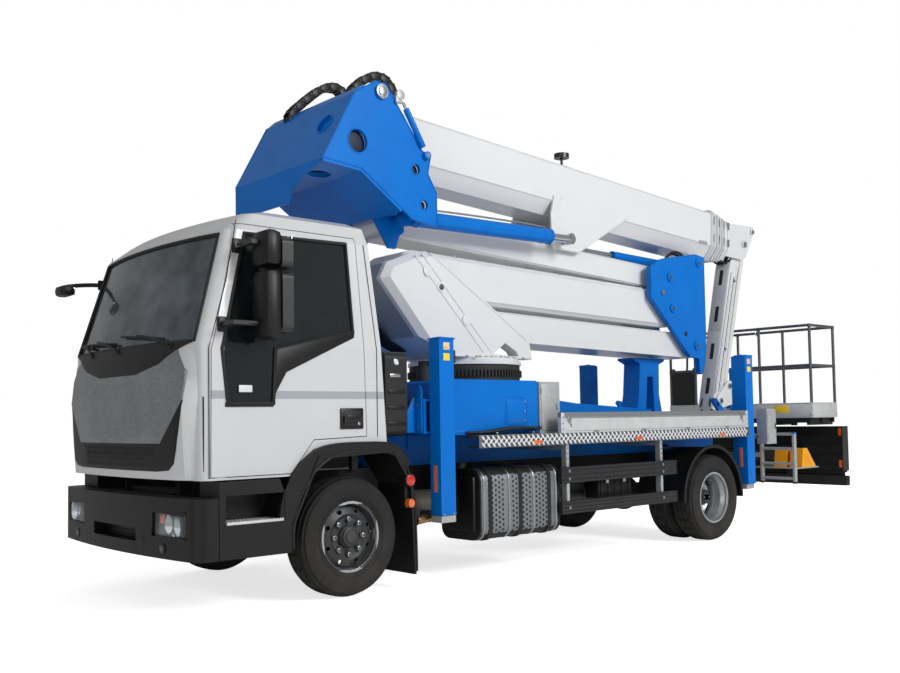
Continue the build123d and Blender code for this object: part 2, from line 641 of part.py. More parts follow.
# entry ladder and wheel chocks on their bracket
with BuildPart() as ladder_rack:
    for stile in (1045, 640):
        bar((6235, 6290), (stile - 12, stile + 12), (470, 1040))
    for rung in (520, 690, 860, 1025):
        bar((6240, 6285), (645, 1040), (rung - 14, rung + 14))
    bar((6235, 6290), (435, 640), (760, 810))
    bar((6285, 6800), (435, 1050), (628, 640))
    for side_y in (960, 760):
        slab([(6440, 640), (6480, 860), (6570, 860), (6770, 640)], side_y - 75, side_y + 75)
save(ladder_rack, "ladder_rack")

# ---------------------------------------------------------------- outriggers
for name, side in sides.items():
    # the pair of front beams share the housing, one ahead of the other
    shift = 48 * side
    with BuildPart() as front_beam:
        bar((front_beam_back + shift - 42, front_beam_back + shift + 42), (-side * 900, side * (front_leg_y - 55)),
            (1165, 1405))
        bar((front_beam_back - 75, front_beam_back + 75), (side * (front_leg_y - 60), side * (front_leg_y + 60)),
            leg_span)
        with Locations((aft(front_beam_back), side * front_leg_y, 1000)):
            Cylinder(ram_radius + 1, 2600, mode=Mode.SUBTRACT)
        bar((front_beam_back - 85, front_beam_back + 85), (side * (front_leg_y - 70), side * (front_leg_y + 70)),
            (1880, 1890))
    save(front_beam, f"front_beam_{name}")

# jack: ram inside the leg, and foot plate
for label, back, middle in (("front", front_beam_back, front_leg_y), ("rear", rear_leg_back, rear_leg_y)):
    for name, side in sides.items():
        with BuildPart() as jack:
            with Locations((aft(back), side * middle, (500 + 1700) / 2)):
                Cylinder(ram_radius, 1700 - 500)
            with Locations((aft(back), side * middle, 498)):
                Box(146, 118, 50)
        save(jack, f"{label}_jack_{name}")

# ---------------------------------------------------------------- turret
plate_inner = 275
turret_half = 405
turret_side = [(820, 2450), (890, 2585), (1150, 2690), (1320, 2722), (2560, 1990), (2600, ring_top + 26),
               (1560, ring_top + 26), (1240, 1975)]
with BuildPart() as turret:
    for side in (1, -1):
        slab(turret_side, side * plate_inner, side * turret_half)
        # window at the rear foot of each side plate
        slab([(2090, 1850), (2240, 1955), (2390, 1880), (2420, 1830)], side * plate_inner, side * turret_half, Mode.SUBTRACT)
    slab([(820, 2450), (890, 2585), (925, 2572), (862, 2458), (1268, 2003), (1580, 1846), (1700, 1846),
          (1700, ring_top + 26), (1560, ring_top + 26), (1240, 1975)], -plate_inner, plate_inner)
    with Locations((aft(slew_back), 0, ring_top + 13)):
        Cylinder(slew_radius - 10, 26)
    with Locations((aft(slew_back), 0, ring_top - 17)):
        Cylinder(slew_radius + 12, 34)
    for place in (arm_foot, link_foot):
        cross_pin(place, 45, (-turret_half - 14, turret_half + 14))
    # the plates' front edges are folded inwards
    chamfer(turret.edges().filter_by(lambda e: abs(abs(e.center().Y) - turret_half) < 1
            and e.center().X > aft(1260) and e.length > 100), 55)
save(turret, "turret")

# ---------------------------------------------------------------- folded arms
arm_half = 255
arm_height = 205
with BuildPart() as lower_arm:
    slab(beam_outline(arm_foot, arm_head, arm_height), -arm_half, arm_half)
    for end in (arm_foot, arm_head):
        cross_pin(end, arm_height, (-arm_half, arm_half))
    # folded-in upper and lower edges
    chamfer(lower_arm.edges().filter_by(lambda e: e.length > 3000), 34)
    cross_pin(arm_foot, 45 + run_fit, (-400, 400), Mode.SUBTRACT)
    cross_pin(arm_head, 45 + run_fit, (-400, 400), Mode.SUBTRACT)
save(lower_arm, "lower_arm")

link_height = 138
with BuildPart() as lower_link:
    slab(beam_outline(link_foot, link_head, link_height), -arm_half, arm_half)
    for end in (link_foot, link_head):
        cross_pin(end, 125, (-arm_half, arm_half))
        cross_pin(end, 45 + run_fit, (-400, 400), Mode.SUBTRACT)
save(lower_link, "lower_link")

# rear knuckle: two blue side plates with cross tubes
knuckle_side = [(4585, 2885), (4585, 2560), (5300, 1925), (5466, 1910), (5485, 1745), (5550, 1745), (5605, 1985),
                (5618, 2215), (5618, 3085), (5440, 3105), (4790, 2990)]
with BuildPart() as rear_knuckle:
    for side in (1, -1):
        slab(knuckle_side, side * 290, side * 345)
    for place, radius in ((arm_head, 45), (link_head, 45), (upper_foot, 45), (pull_foot, 40)):
        cross_pin(place, radius, (-360, 360))
    cross_pin((5560, 2400), 40, (-290, 290))
save(rear_knuckle, "rear_knuckle")

upper_half = 200
upper_height = 122
with BuildPart() as upper_arm:
    slab(beam_outline(upper_foot, upper_head, upper_height), -upper_half, upper_half)
    for end in (upper_foot, upper_head):
        cross_pin(end, upper_height, (-upper_half, upper_half))
    chamfer(upper_arm.edges().filter_by(lambda e: e.length > 3000), 20)
    cross_pin(upper_foot, 45 + run_fit, (-300, 300), Mode.SUBTRACT)
    cross_pin(upper_head, 42 + run_fit, (-300, 300), Mode.SUBTRACT)
    # lug for the rod of the pulling cylinder
    for side in (1, -1):
        slab([(3560, 2900), (3600, pull_eye[1] + 30), (3700, pull_eye[1] + 30), (3760, 2890)], side * 48, side * 66)
save(upper_arm, "upper_arm")


def cylinder_place(foot, eye, share):
    # the place at a share of the way from a cylinder's foot to its rod's eye
    return (foot[0] + (eye[0] - foot[0]) * share, foot[1] + (eye[1] - foot[1]) * share)


def cylinder_barrel(foot, eye, share, radius, middle, pin_radius):
    # barrel with its foot eye; it ends at a share of the way to the rod's eye
    long_bar(cylinder_place(foot, eye, 0.02), cylinder_place(foot, eye, share), radius, middle)
    cross_pin(foot, pin_radius + 34, (middle - 40, middle + 40))
    cross_pin(foot, pin_radius + run_fit, (middle - 90, middle + 90), Mode.SUBTRACT)
    long_bar(cylinder_place(foot, eye, 0.08), cylinder_place(foot, eye, 1.2), radius * 0.56 + 0.4, middle,
             Mode.SUBTRACT)


def cylinder_rod(foot, eye, share, radius, middle, pin_radius, pin_span):
    # rod that starts at a share of the way inside the barrel, with its eye and pin
    long_bar(cylinder_place(foot, eye, share), cylinder_place(foot, eye, 0.985), radius * 0.56, middle)
    cross_pin(eye, pin_radius + 30, (middle - 36, middle + 36))
    cross_pin(eye, pin_radius, pin_span)


with BuildPart() as pull_barrel:
    cylinder_barrel(pull_foot, pull_eye, 0.62, 50, 0, 40)
save(pull_barrel, "upper_arm_barrel")
with BuildPart() as pull_rod:
    cylinder_rod(pull_foot, pull_eye, 0.42, 50, 0, 22, (-42, 42))
save(pull_rod, "upper_arm_rod")

# front knuckle: an open blue box of two side plates, a nose plate and a sloping underside
nose_side = [(357, 3847), (569, 3978), (669, 3976), (770, 3848), (1048, 3490), (1140, 3459), (1107, 3310),
             (1200, 3158), (1200, 2873), (931, 2910), (417, 3248), (42, 3275)]
front_half = 650
with BuildPart() as front_knuckle:
    for side in (1, -1):
        slab(nose_side, side * (front_half - 28), side * front_half)
        for place, radius in (((379, 3459), 92), ((977, 3326), 42), ((1063, 3040), 38)):
            cross_pin(place, radius, (side * 600, side * 700), Mode.SUBTRACT)
        slab([(800, 3120), (1180, 3120), (1180, 2890), (1130, 2850), (1090, 2735), (1010, 2735), (840, 2990)],
             side * 212, side * 240)
    slab([(357, 3847), (42, 3275), (72, 3262), (390, 3834)], -front_half, front_half)
    slab([(42, 3275), (417, 3248), (830, 2976), (815, 2952), (408, 3222), (50, 3248)], -front_half, front_half)
    slab([(357, 3847), (390, 3834), (458, 3892), (440, 3924)], -front_half, front_half)
    # apron hanging from the nose plate, cut away in a curve towards the near side
    front_slab([(-650, 3272), (-650, 3000), (153, 3000), (182, 3058), (212, 3101), (270, 3138), (341, 3172),
                (411, 3205), (508, 3233), (629, 3266), (650, 3272)], aft(56), aft(42))
    with Locations(Location((aft(200), 414, 3640), (0, 61.1, 0))):
        Cylinder(85, 120, mode=Mode.SUBTRACT)
    with Locations((aft(232), 328, 3240)):
        Cylinder(95, 120, mode=Mode.SUBTRACT)
    cross_pin(upper_head, 42, (-front_half + 28, front_half - 28))
    cross_pin(boom_pivot, 50, (-front_half - 16, front_half + 16))
save(front_knuckle, "front_knuckle")

# energy chains that loop over the top of the front knuckle
chain_route = [(312, 3815), (330, 3960), (420, 4160), (620, 4250), (840, 4215), (960, 4100), (985, 3975)]
with BuildPart() as hose_loops:
    for middle in (330, -330):
        with BuildLine() as path:
            FilletPolyline(*[(aft(back), middle, height) for back, height in chain_route], radius=60)
        with BuildSketch(Plane(path.line @ 0, x_dir=(0, 1, 0), z_dir=path.line % 0)) as chain_section:
            Rectangle(100, 60)
        sweep(chain_section.sketch, path.line)
    slab([(357, 3847), (42, 3275), (72, 3262), (390, 3834)], -front_half, front_half, Mode.SUBTRACT)
save(hose_loops, "hose_loops")

# ---------------------------------------------------------------- telescopic boom
boom_down = math.radians(boom_slope)
boom_along = Vector(-math.cos(boom_down), 0, -math.sin(boom_down))
boom_up = Vector(-math.sin(boom_down), 0, math.cos(boom_down))
boom_start = Vector(aft(760), 0, 3966)
boom_half = 250
boom_side_height = 400
boom_height = 540
boom_foot_half = 150
# each section inside the base: distance from the base's front face to its own two ends, how far
# it is drawn in from the base's outer form, and its wall
boom_sections = ((0, 5250, 0, 10), (260, 5390, 18, 9), (420, 5520, 35, 8), (560, 5650, 51, 8))


def boom_profile(from_start, drawn_in):
    # cross-section of a boom section: upright sides over two inward folds and a narrow foot
    place = Plane(origin=boom_start + boom_along * from_start, x_dir=(0, -1, 0), z_dir=boom_along)
    top = -drawn_in
    wide = boom_half - drawn_in
    foot = boom_foot_half - drawn_in * 0.6
    with BuildSketch(place) as profile:
        with BuildLine():
            Polyline((-wide, top - 22), (-wide + 22, top), (wide - 22, top), (wide, top - 22),
                     (wide, -boom_side_height + drawn_in * 0.4), (foot, -boom_height + drawn_in),
                     (-foot, -boom_height + drawn_in), (-wide, -boom_side_height + drawn_in * 0.4), close=True)
        make_face()
    return profile.sketch


def boom_tube(index):
    # a hollow section with a collar round its outer end
    first, last, drawn_in, wall = boom_sections[index]
    extrude(boom_profile(first, drawn_in), amount=last - first)
    extrude(boom_profile(first - 5, drawn_in + wall), amount=last - first + 10, mode=Mode.SUBTRACT)


def boom_collar(index, thickness=14, length=34):
    first, last, drawn_in, wall = boom_sections[index]
    with BuildPart(mode=Mode.PRIVATE) as collar:
        extrude(boom_profile(last - length, drawn_in - thickness), amount=length)
        extrude(boom_profile(last - length - 5, drawn_in + wall), amount=length + 10, mode=Mode.SUBTRACT)
    return collar.part


with BuildPart() as boom_base:
    boom_tube(0)
    extrude(boom_profile(0, 5), amount=14)
    add(boom_collar(0))
    # hinge tube at the root, above the profile's front face
    cross_pin(boom_pivot, 80, (-boom_half, boom_half))
    for side in (1, -1):
        slab([(617, 3976), (780, 3964), (780, 3560), (700, 3700), (560, 3845)],
             side * (boom_half - 30), side * boom_half)
        # gusset that hangs below the side and takes a lift cylinder's rod
        slab([(3120, 3480), (3250, 3490), (4330, 3415), (3480, 2940), (3100, 2940), (3070, 3000), (3070, 3300)],
             side * boom_half, side * (boom_half + 22))
        cross_pin(cylinder_eye, 42, (side * boom_half, side * 326))
    cross_pin(boom_pivot, 50 + run_fit, (-400, 400), Mode.SUBTRACT)
    # rotating beacon on the top
    with Locations((aft(3440), 100, 3888)):
        Cylinder(14, 160)
    with Locations((aft(3440), 100, 3965)):
        Cylinder(78, 46)
save(boom_base, "boom_base")

for index, label in ((1, "boom_section_2"), (2, "boom_section_3")):
    with BuildPart() as section:
        boom_tube(index)
        add(boom_collar(index, 12, 30))
    save(section, label)

# last section with the head plates that hold the jib and its link
with BuildPart() as boom_head:
    boom_tube(3)
    add(boom_collar(3, 10, 24))
    extrude(boom_profile(5640, 51), amount=14)
    for side in (1, -1):
        slab([(6391, 3590), (6480, 3625), (7060, 3650), (7085, 3580), (6870, 3240), (6800, 3200), (6391, 3215)],
             side * 124, side * 144)
    cross_pin(jib_pivot, 32, (-152, 152))
    cross_pin(link_top, 24, (-152, 152))
save(boom_head, "boom_head")

with BuildPart() as lift_barrels:
    for middle in (420, -420):
        cylinder_barrel(upper_head, cylinder_eye, 0.86, 72, middle, 42)
save(lift_barrels, "lift_barrels")
with BuildPart() as lift_rods:
    for side in (1, -1):
        cylinder_rod(upper_head, cylinder_eye, 0.12, 72, side * 420, 26, (side * 332, side * 466))
save(lift_rods, "lift_rods")

# ---------------------------------------------------------------- jib and basket
# the jib is a channel open to the rear, so that its link folds into it; outlines are given along
# and behind the line from its upper pin to its lower one
jib_half = 100
jib_cheek = 14
jib_length = math.dist(jib_pivot, jib_tip)
jib_front = ((300, -165), (415, -170), (2190, -122))
with BuildPart() as jib:
    cheek = beam_places(jib_pivot, jib_tip, [(-72, -36), (-72, 36), (-36, 62), (60, 60), (400, 12), (1900, 36),
                                             (1990, 62), (2110, 56), (2190, -60), *reversed(jib_front), (40, -84)])
    slab(cheek, -jib_half, jib_cheek - jib_half)
    slab(cheek, jib_half - jib_cheek, jib_half)
    slab(beam_places(jib_pivot, jib_tip, [*jib_front, (2190, -108), (415, -156), (300, -151)]), -jib_half, jib_half)
    cross_pin(jib_pivot, 32 + run_fit, (-200, 200), Mode.SUBTRACT)
    cross_pin(jib_tip, 28 + run_fit, (-200, 200), Mode.SUBTRACT)
    # row of slots down the front face
    for along in (640, 1000, 1360, 1720):
        slab(beam_places(jib_pivot, jib_tip, [(along, -180), (along + 150, -180), (along + 150, -90), (along, -90)]),
             -26, 26, Mode.SUBTRACT)
    # barrel of the jib's cylinder between the cheeks, on two cross tubes
    barrel = beam_places(jib_pivot, jib_tip, [(430, 6), (1500, 6), (500, -70), (1400, -70)])
    long_bar(barrel[0], barrel[1], 40)
    for place in beam_places(jib_pivot, jib_tip, [(500, -30), (1400, -24)]):
        cross_pin(place, 22, (-jib_half, jib_half))
save(jib, "jib")

with BuildPart() as jib_link:
    slab(beam_outline(link_top, link_low, 35), -60, 60)
    for end in (link_top, link_low):
        cross_pin(end, 46, (-60, 60))
        cross_pin(end, 24 + run_fit, (-200, 200), Mode.SUBTRACT)
save(jib_link, "jib_link")

with BuildPart() as jib_yoke:
    for side in (1, -1):
        slab([(6168, 1376), (6240, 1345), (6560, 1400), (6612, 1440), (6612, 1560), (6500, 1672), (6420, 1672),
              (6180, 1480)], side * (jib_half + 6), side * (jib_half + 22))
    cross_pin(jib_tip, 28, (-jib_half - 28, jib_half + 28))
    cross_pin(link_low, 24, (-jib_half - 28, jib_half + 28))
    cross_pin(carrier_pivot, 24, (-jib_half - 28, jib_half + 28))
save(jib_yoke, "jib_yoke")

# carrier that keeps the basket level, with the upright bearing that it turns on
with BuildPart() as basket_carrier:
    cross_pin(carrier_pivot, 48, (-96, 96))
    slab([(6548, 1518), (6650, 1540), (6650, 1370), (6548, 1422)], -45, 45)
    with Locations((aft(basket_turn), 0, 1459)):
        Cylinder(52, 186)
        Cylinder(30 + run_fit, 400, mode=Mode.SUBTRACT)
    cross_pin(carrier_pivot, 24 + run_fit, (-200, 200), Mode.SUBTRACT)
save(basket_carrier, "basket_carrier")

basket_front = 6800
basket_back = 7410
basket_half = 1000
basket_floor = 1210
basket_rail = 2330
kick_top = 1385
tube = 17
with BuildPart() as basket:
    bar((basket_front, basket_back), (-basket_half, basket_half), (basket_floor, basket_floor + 30))
    for back in (basket_front, basket_back - 4):
        bar((back, back + 4), (-basket_half, basket_half), (basket_floor, kick_top))
    for side in (1, -1):
        bar((basket_front, basket_back), (side * basket_half, side * (basket_half - 4)), (basket_floor, kick_top))
    front_rail = basket_front + tube
    back_rail = basket_back - tube
    end_rail = basket_half - tube
    for back, y in ((front_rail, end_rail), (front_rail, 320), (front_rail, -605), (front_rail, -end_rail),
                    (back_rail, end_rail), (back_rail, 320), (back_rail, -320), (back_rail, -end_rail)):
        with Locations((aft(back), y, (basket_floor + basket_rail) / 2)):
            Cylinder(tube, basket_rail - basket_floor)
    for level in (1835, basket_rail - tube):
        for back in (front_rail, back_rail):
            cross_pin((back, level), tube, (-end_rail, end_rail))
        for y in (end_rail, -end_rail):
            with Locations(Location((aft((basket_front + basket_back) / 2), y, level), (0, 90, 0))):
                Cylinder(tube, basket_back - basket_front - 2 * tube)
    # dark panel and the control box on the right of the front face
    bar((basket_front + 12, basket_front + 18), (-end_rail, -605), (kick_top - 20, 1835))
    bar((basket_front + 30, basket_front + 230), (-940, -660), (2030, 2250))
    for y in (-900, -700):
        bar((basket_front + 10, basket_front + 60), (y - 12, y + 12), (2250, basket_rail - 10))
        bar((basket_front + 30, basket_front + 60), (y - 12, y + 12), (2200, basket_rail - 10))
save(basket, "basket")

# turning bracket on the basket's front face, above and below the carrier's bearing
with BuildPart() as basket_bracket:
    bar((basket_front - 14, basket_front), (-90, 90), (basket_floor + 20, 1850))
    for low in (1336, 1560):
        bar((basket_turn, basket_front - 10), (-22, 22), (low, low + 24))
        with Locations((aft(basket_turn), 0, low + 12)):
            Cylinder(50, 24)
    with Locations((aft(basket_turn), 0, 1460)):
        Cylinder(30, 248)
save(basket_bracket, "basket_bracket")
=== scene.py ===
import math

import bpy
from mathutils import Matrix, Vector


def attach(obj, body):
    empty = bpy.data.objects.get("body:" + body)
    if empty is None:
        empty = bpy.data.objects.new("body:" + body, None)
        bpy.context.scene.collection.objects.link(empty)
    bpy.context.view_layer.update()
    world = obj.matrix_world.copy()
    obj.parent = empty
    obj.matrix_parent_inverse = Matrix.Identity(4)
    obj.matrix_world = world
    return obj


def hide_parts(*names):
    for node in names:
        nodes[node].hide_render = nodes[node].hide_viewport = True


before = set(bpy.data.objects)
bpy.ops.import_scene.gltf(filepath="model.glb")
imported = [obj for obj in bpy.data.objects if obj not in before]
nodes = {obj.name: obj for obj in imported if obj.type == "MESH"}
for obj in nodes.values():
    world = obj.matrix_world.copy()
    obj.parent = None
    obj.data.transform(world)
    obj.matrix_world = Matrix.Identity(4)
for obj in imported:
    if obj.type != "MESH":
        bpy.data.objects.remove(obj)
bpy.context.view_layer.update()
print("frame loaded:", len(nodes), "nodes")

axleX = 3.065  # x of the front axle; side-view places below are given as metres behind it


def aft(distance):
    return axleX - distance


def at(distance, y, z):
    return (aft(distance), y, z)


def mirrored(side):
    # the same, with y outwards from the middle on either side
    return lambda distance, y, z: (aft(distance), side * y, z)


sides = [(name, side, mirrored(side)) for name, side in (("left", 1), ("right", -1))]


# ---- node and colour helpers
def toLinear(hexCode):
    parts = [int(hexCode[i:i + 2], 16) / 255 for i in (1, 3, 5)]
    return tuple(p / 12.92 if p <= 0.04045 else ((p + 0.055) / 1.055) ** 2.4 for p in parts) + (1.0,)


def addNode(tree, kind, settings=None, links=None):
    # settings are the node's own or its sockets' values; a link is a (node, output) pair or a value
    node = tree.nodes.new(kind)
    for key, value in (settings or {}).items():
        if isinstance(key, str) and hasattr(node, key):
            setattr(node, key, value)
        else:
            node.inputs[key].default_value = value
    for key, value in (links or {}).items():
        if isinstance(value, str):
            node.inputs[key].default_value = toLinear(value)
        elif isinstance(value, tuple):
            tree.links.new(value[0].outputs[value[1]], node.inputs[key])
        else:
            node.inputs[key].default_value = value
    return node


def insideBox(tree, place, low, high):
    # 1 inside a box given by two corners, 0 outside
    middle = [(a + b) / 2 for a, b in zip(low, high)]
    half = [abs(b - a) / 2 for a, b in zip(low, high)]
    moved = addNode(tree, "ShaderNodeVectorMath", {"operation": "SUBTRACT", 1: middle}, {0: place})
    size = addNode(tree, "ShaderNodeVectorMath", {"operation": "ABSOLUTE"}, {0: (moved, 0)})
    axes = addNode(tree, "ShaderNodeSeparateXYZ", {}, {0: (size, 0)})
    result = None
    for i in range(3):
        test = addNode(tree, "ShaderNodeMath", {"operation": "LESS_THAN", 1: half[i]}, {0: (axes, i)})
        if result:
            test = addNode(tree, "ShaderNodeMath", {"operation": "MULTIPLY"}, {0: (test, 0), 1: (result, 0)})
        result = test
    return result, 0


def makeFinish(name, values):
    # colour and shade in hex, grainMm, rough, metal, coat, shine, clear with ior, glow, bumpMm with
    # bumpDeep in mm, dust (thicker near the ground), speckles of mm, share and colour, and regions of
    # (low corner, high corner, colour, roughness, metal)
    material = bpy.data.materials.new(name)
    material.use_nodes = True
    tree = material.node_tree
    surface = tree.nodes["Principled BSDF"]
    place = (addNode(tree, "ShaderNodeTexCoord"), "Object")
    grain = addNode(tree, "ShaderNodeTexNoise", {"Scale": 1000 / values.get("grainMm", 300), "Detail": 4.0,
                                                 "Roughness": 0.6}, {"Vector": place})
    soft = addNode(tree, "ShaderNodeMapRange", {"From Min": 0.35, "From Max": 0.68}, {"Value": (grain, 0)})
    colour = addNode(tree, "ShaderNodeMix", {"data_type": "RGBA"},
                     {0: (soft, 0), 6: values["colour"], 7: values.get("shade", values["colour"])})
    rough = (addNode(tree, "ShaderNodeMapRange", {"To Min": values["rough"] * 0.85, "To Max": values["rough"] * 1.2},
                     {"Value": (grain, 0)}), 0)
    metal = None
    for speckle in values.get("speckles", ()):
        dots = addNode(tree, "ShaderNodeTexVoronoi", {"Scale": 1000 / speckle["mm"]}, {"Vector": place})
        lit = addNode(tree, "ShaderNodeMath", {"operation": "LESS_THAN", 1: speckle["share"]}, {0: (dots, 0)})
        colour = addNode(tree, "ShaderNodeMix", {"data_type": "RGBA"},
                         {0: (lit, 0), 6: (colour, 2), 7: speckle["colour"]})
    for low, high, hexCode, newRough, newMetal in values.get("regions", ()):
        here = insideBox(tree, place, low, high)
        colour = addNode(tree, "ShaderNodeMix", {"data_type": "RGBA"}, {0: here, 6: (colour, 2), 7: hexCode})
        rough = (addNode(tree, "ShaderNodeMix", {"data_type": "FLOAT"}, {0: here, 2: rough, 3: newRough}), 0)
        if newMetal != values.get("metal", 0) or metal:
            metal = (addNode(tree, "ShaderNodeMix", {"data_type": "FLOAT"},
                             {0: here, 2: metal or values.get("metal", 0), 3: newMetal}), 0)
    if values.get("dust"):
        axes = addNode(tree, "ShaderNodeSeparateXYZ", {}, {0: place})
        height = addNode(tree, "ShaderNodeMapRange", {"From Min": 1.1, "From Max": 0.1, "To Max": values["dust"]},
                         {"Value": (axes, 2)})
        blotch = addNode(tree, "ShaderNodeTexNoise", {"Scale": 9.0, "Detail": 6.0}, {"Vector": place})
        film = addNode(tree, "ShaderNodeMath", {"operation": "MULTIPLY"}, {0: (height, 0), 1: (blotch, 0)})
        colour = addNode(tree, "ShaderNodeMix", {"data_type": "RGBA"},
                         {0: (film, 0), 6: (colour, 2), 7: values.get("dustColour", "#8C867C")})
    tree.links.new(colour.outputs[2], surface.inputs["Base Color"])
    tree.links.new(rough[0].outputs[rough[1]], surface.inputs["Roughness"])
    if metal:
        tree.links.new(metal[0].outputs[metal[1]], surface.inputs["Metallic"])
    else:
        surface.inputs["Metallic"].default_value = values.get("metal", 0)
    for socket, value in (("Coat Weight", values.get("coat", 0)), ("Coat Roughness", 0.08),
                          ("Specular IOR Level", values.get("shine", 0.5)),
                          ("Transmission Weight", values.get("clear", 0)), ("IOR", values.get("ior", 1.5)),
                          ("Emission Color", toLinear(values["colour"])),
                          ("Emission Strength", values.get("glow", 0))):
        surface.inputs[socket].default_value = value
    if values.get("bumpMm"):
        relief = addNode(tree, "ShaderNodeTexNoise", {"Scale": 1000 / values["bumpMm"], "Detail": 3.0},
                         {"Vector": place})
        bump = addNode(tree, "ShaderNodeBump", {"Strength": 0.5, "Distance": values.get("bumpDeep", 0.3) / 1000},
                       {"Height": (relief, 0)})
        tree.links.new(bump.outputs[0], surface.inputs["Normal"])
    return material


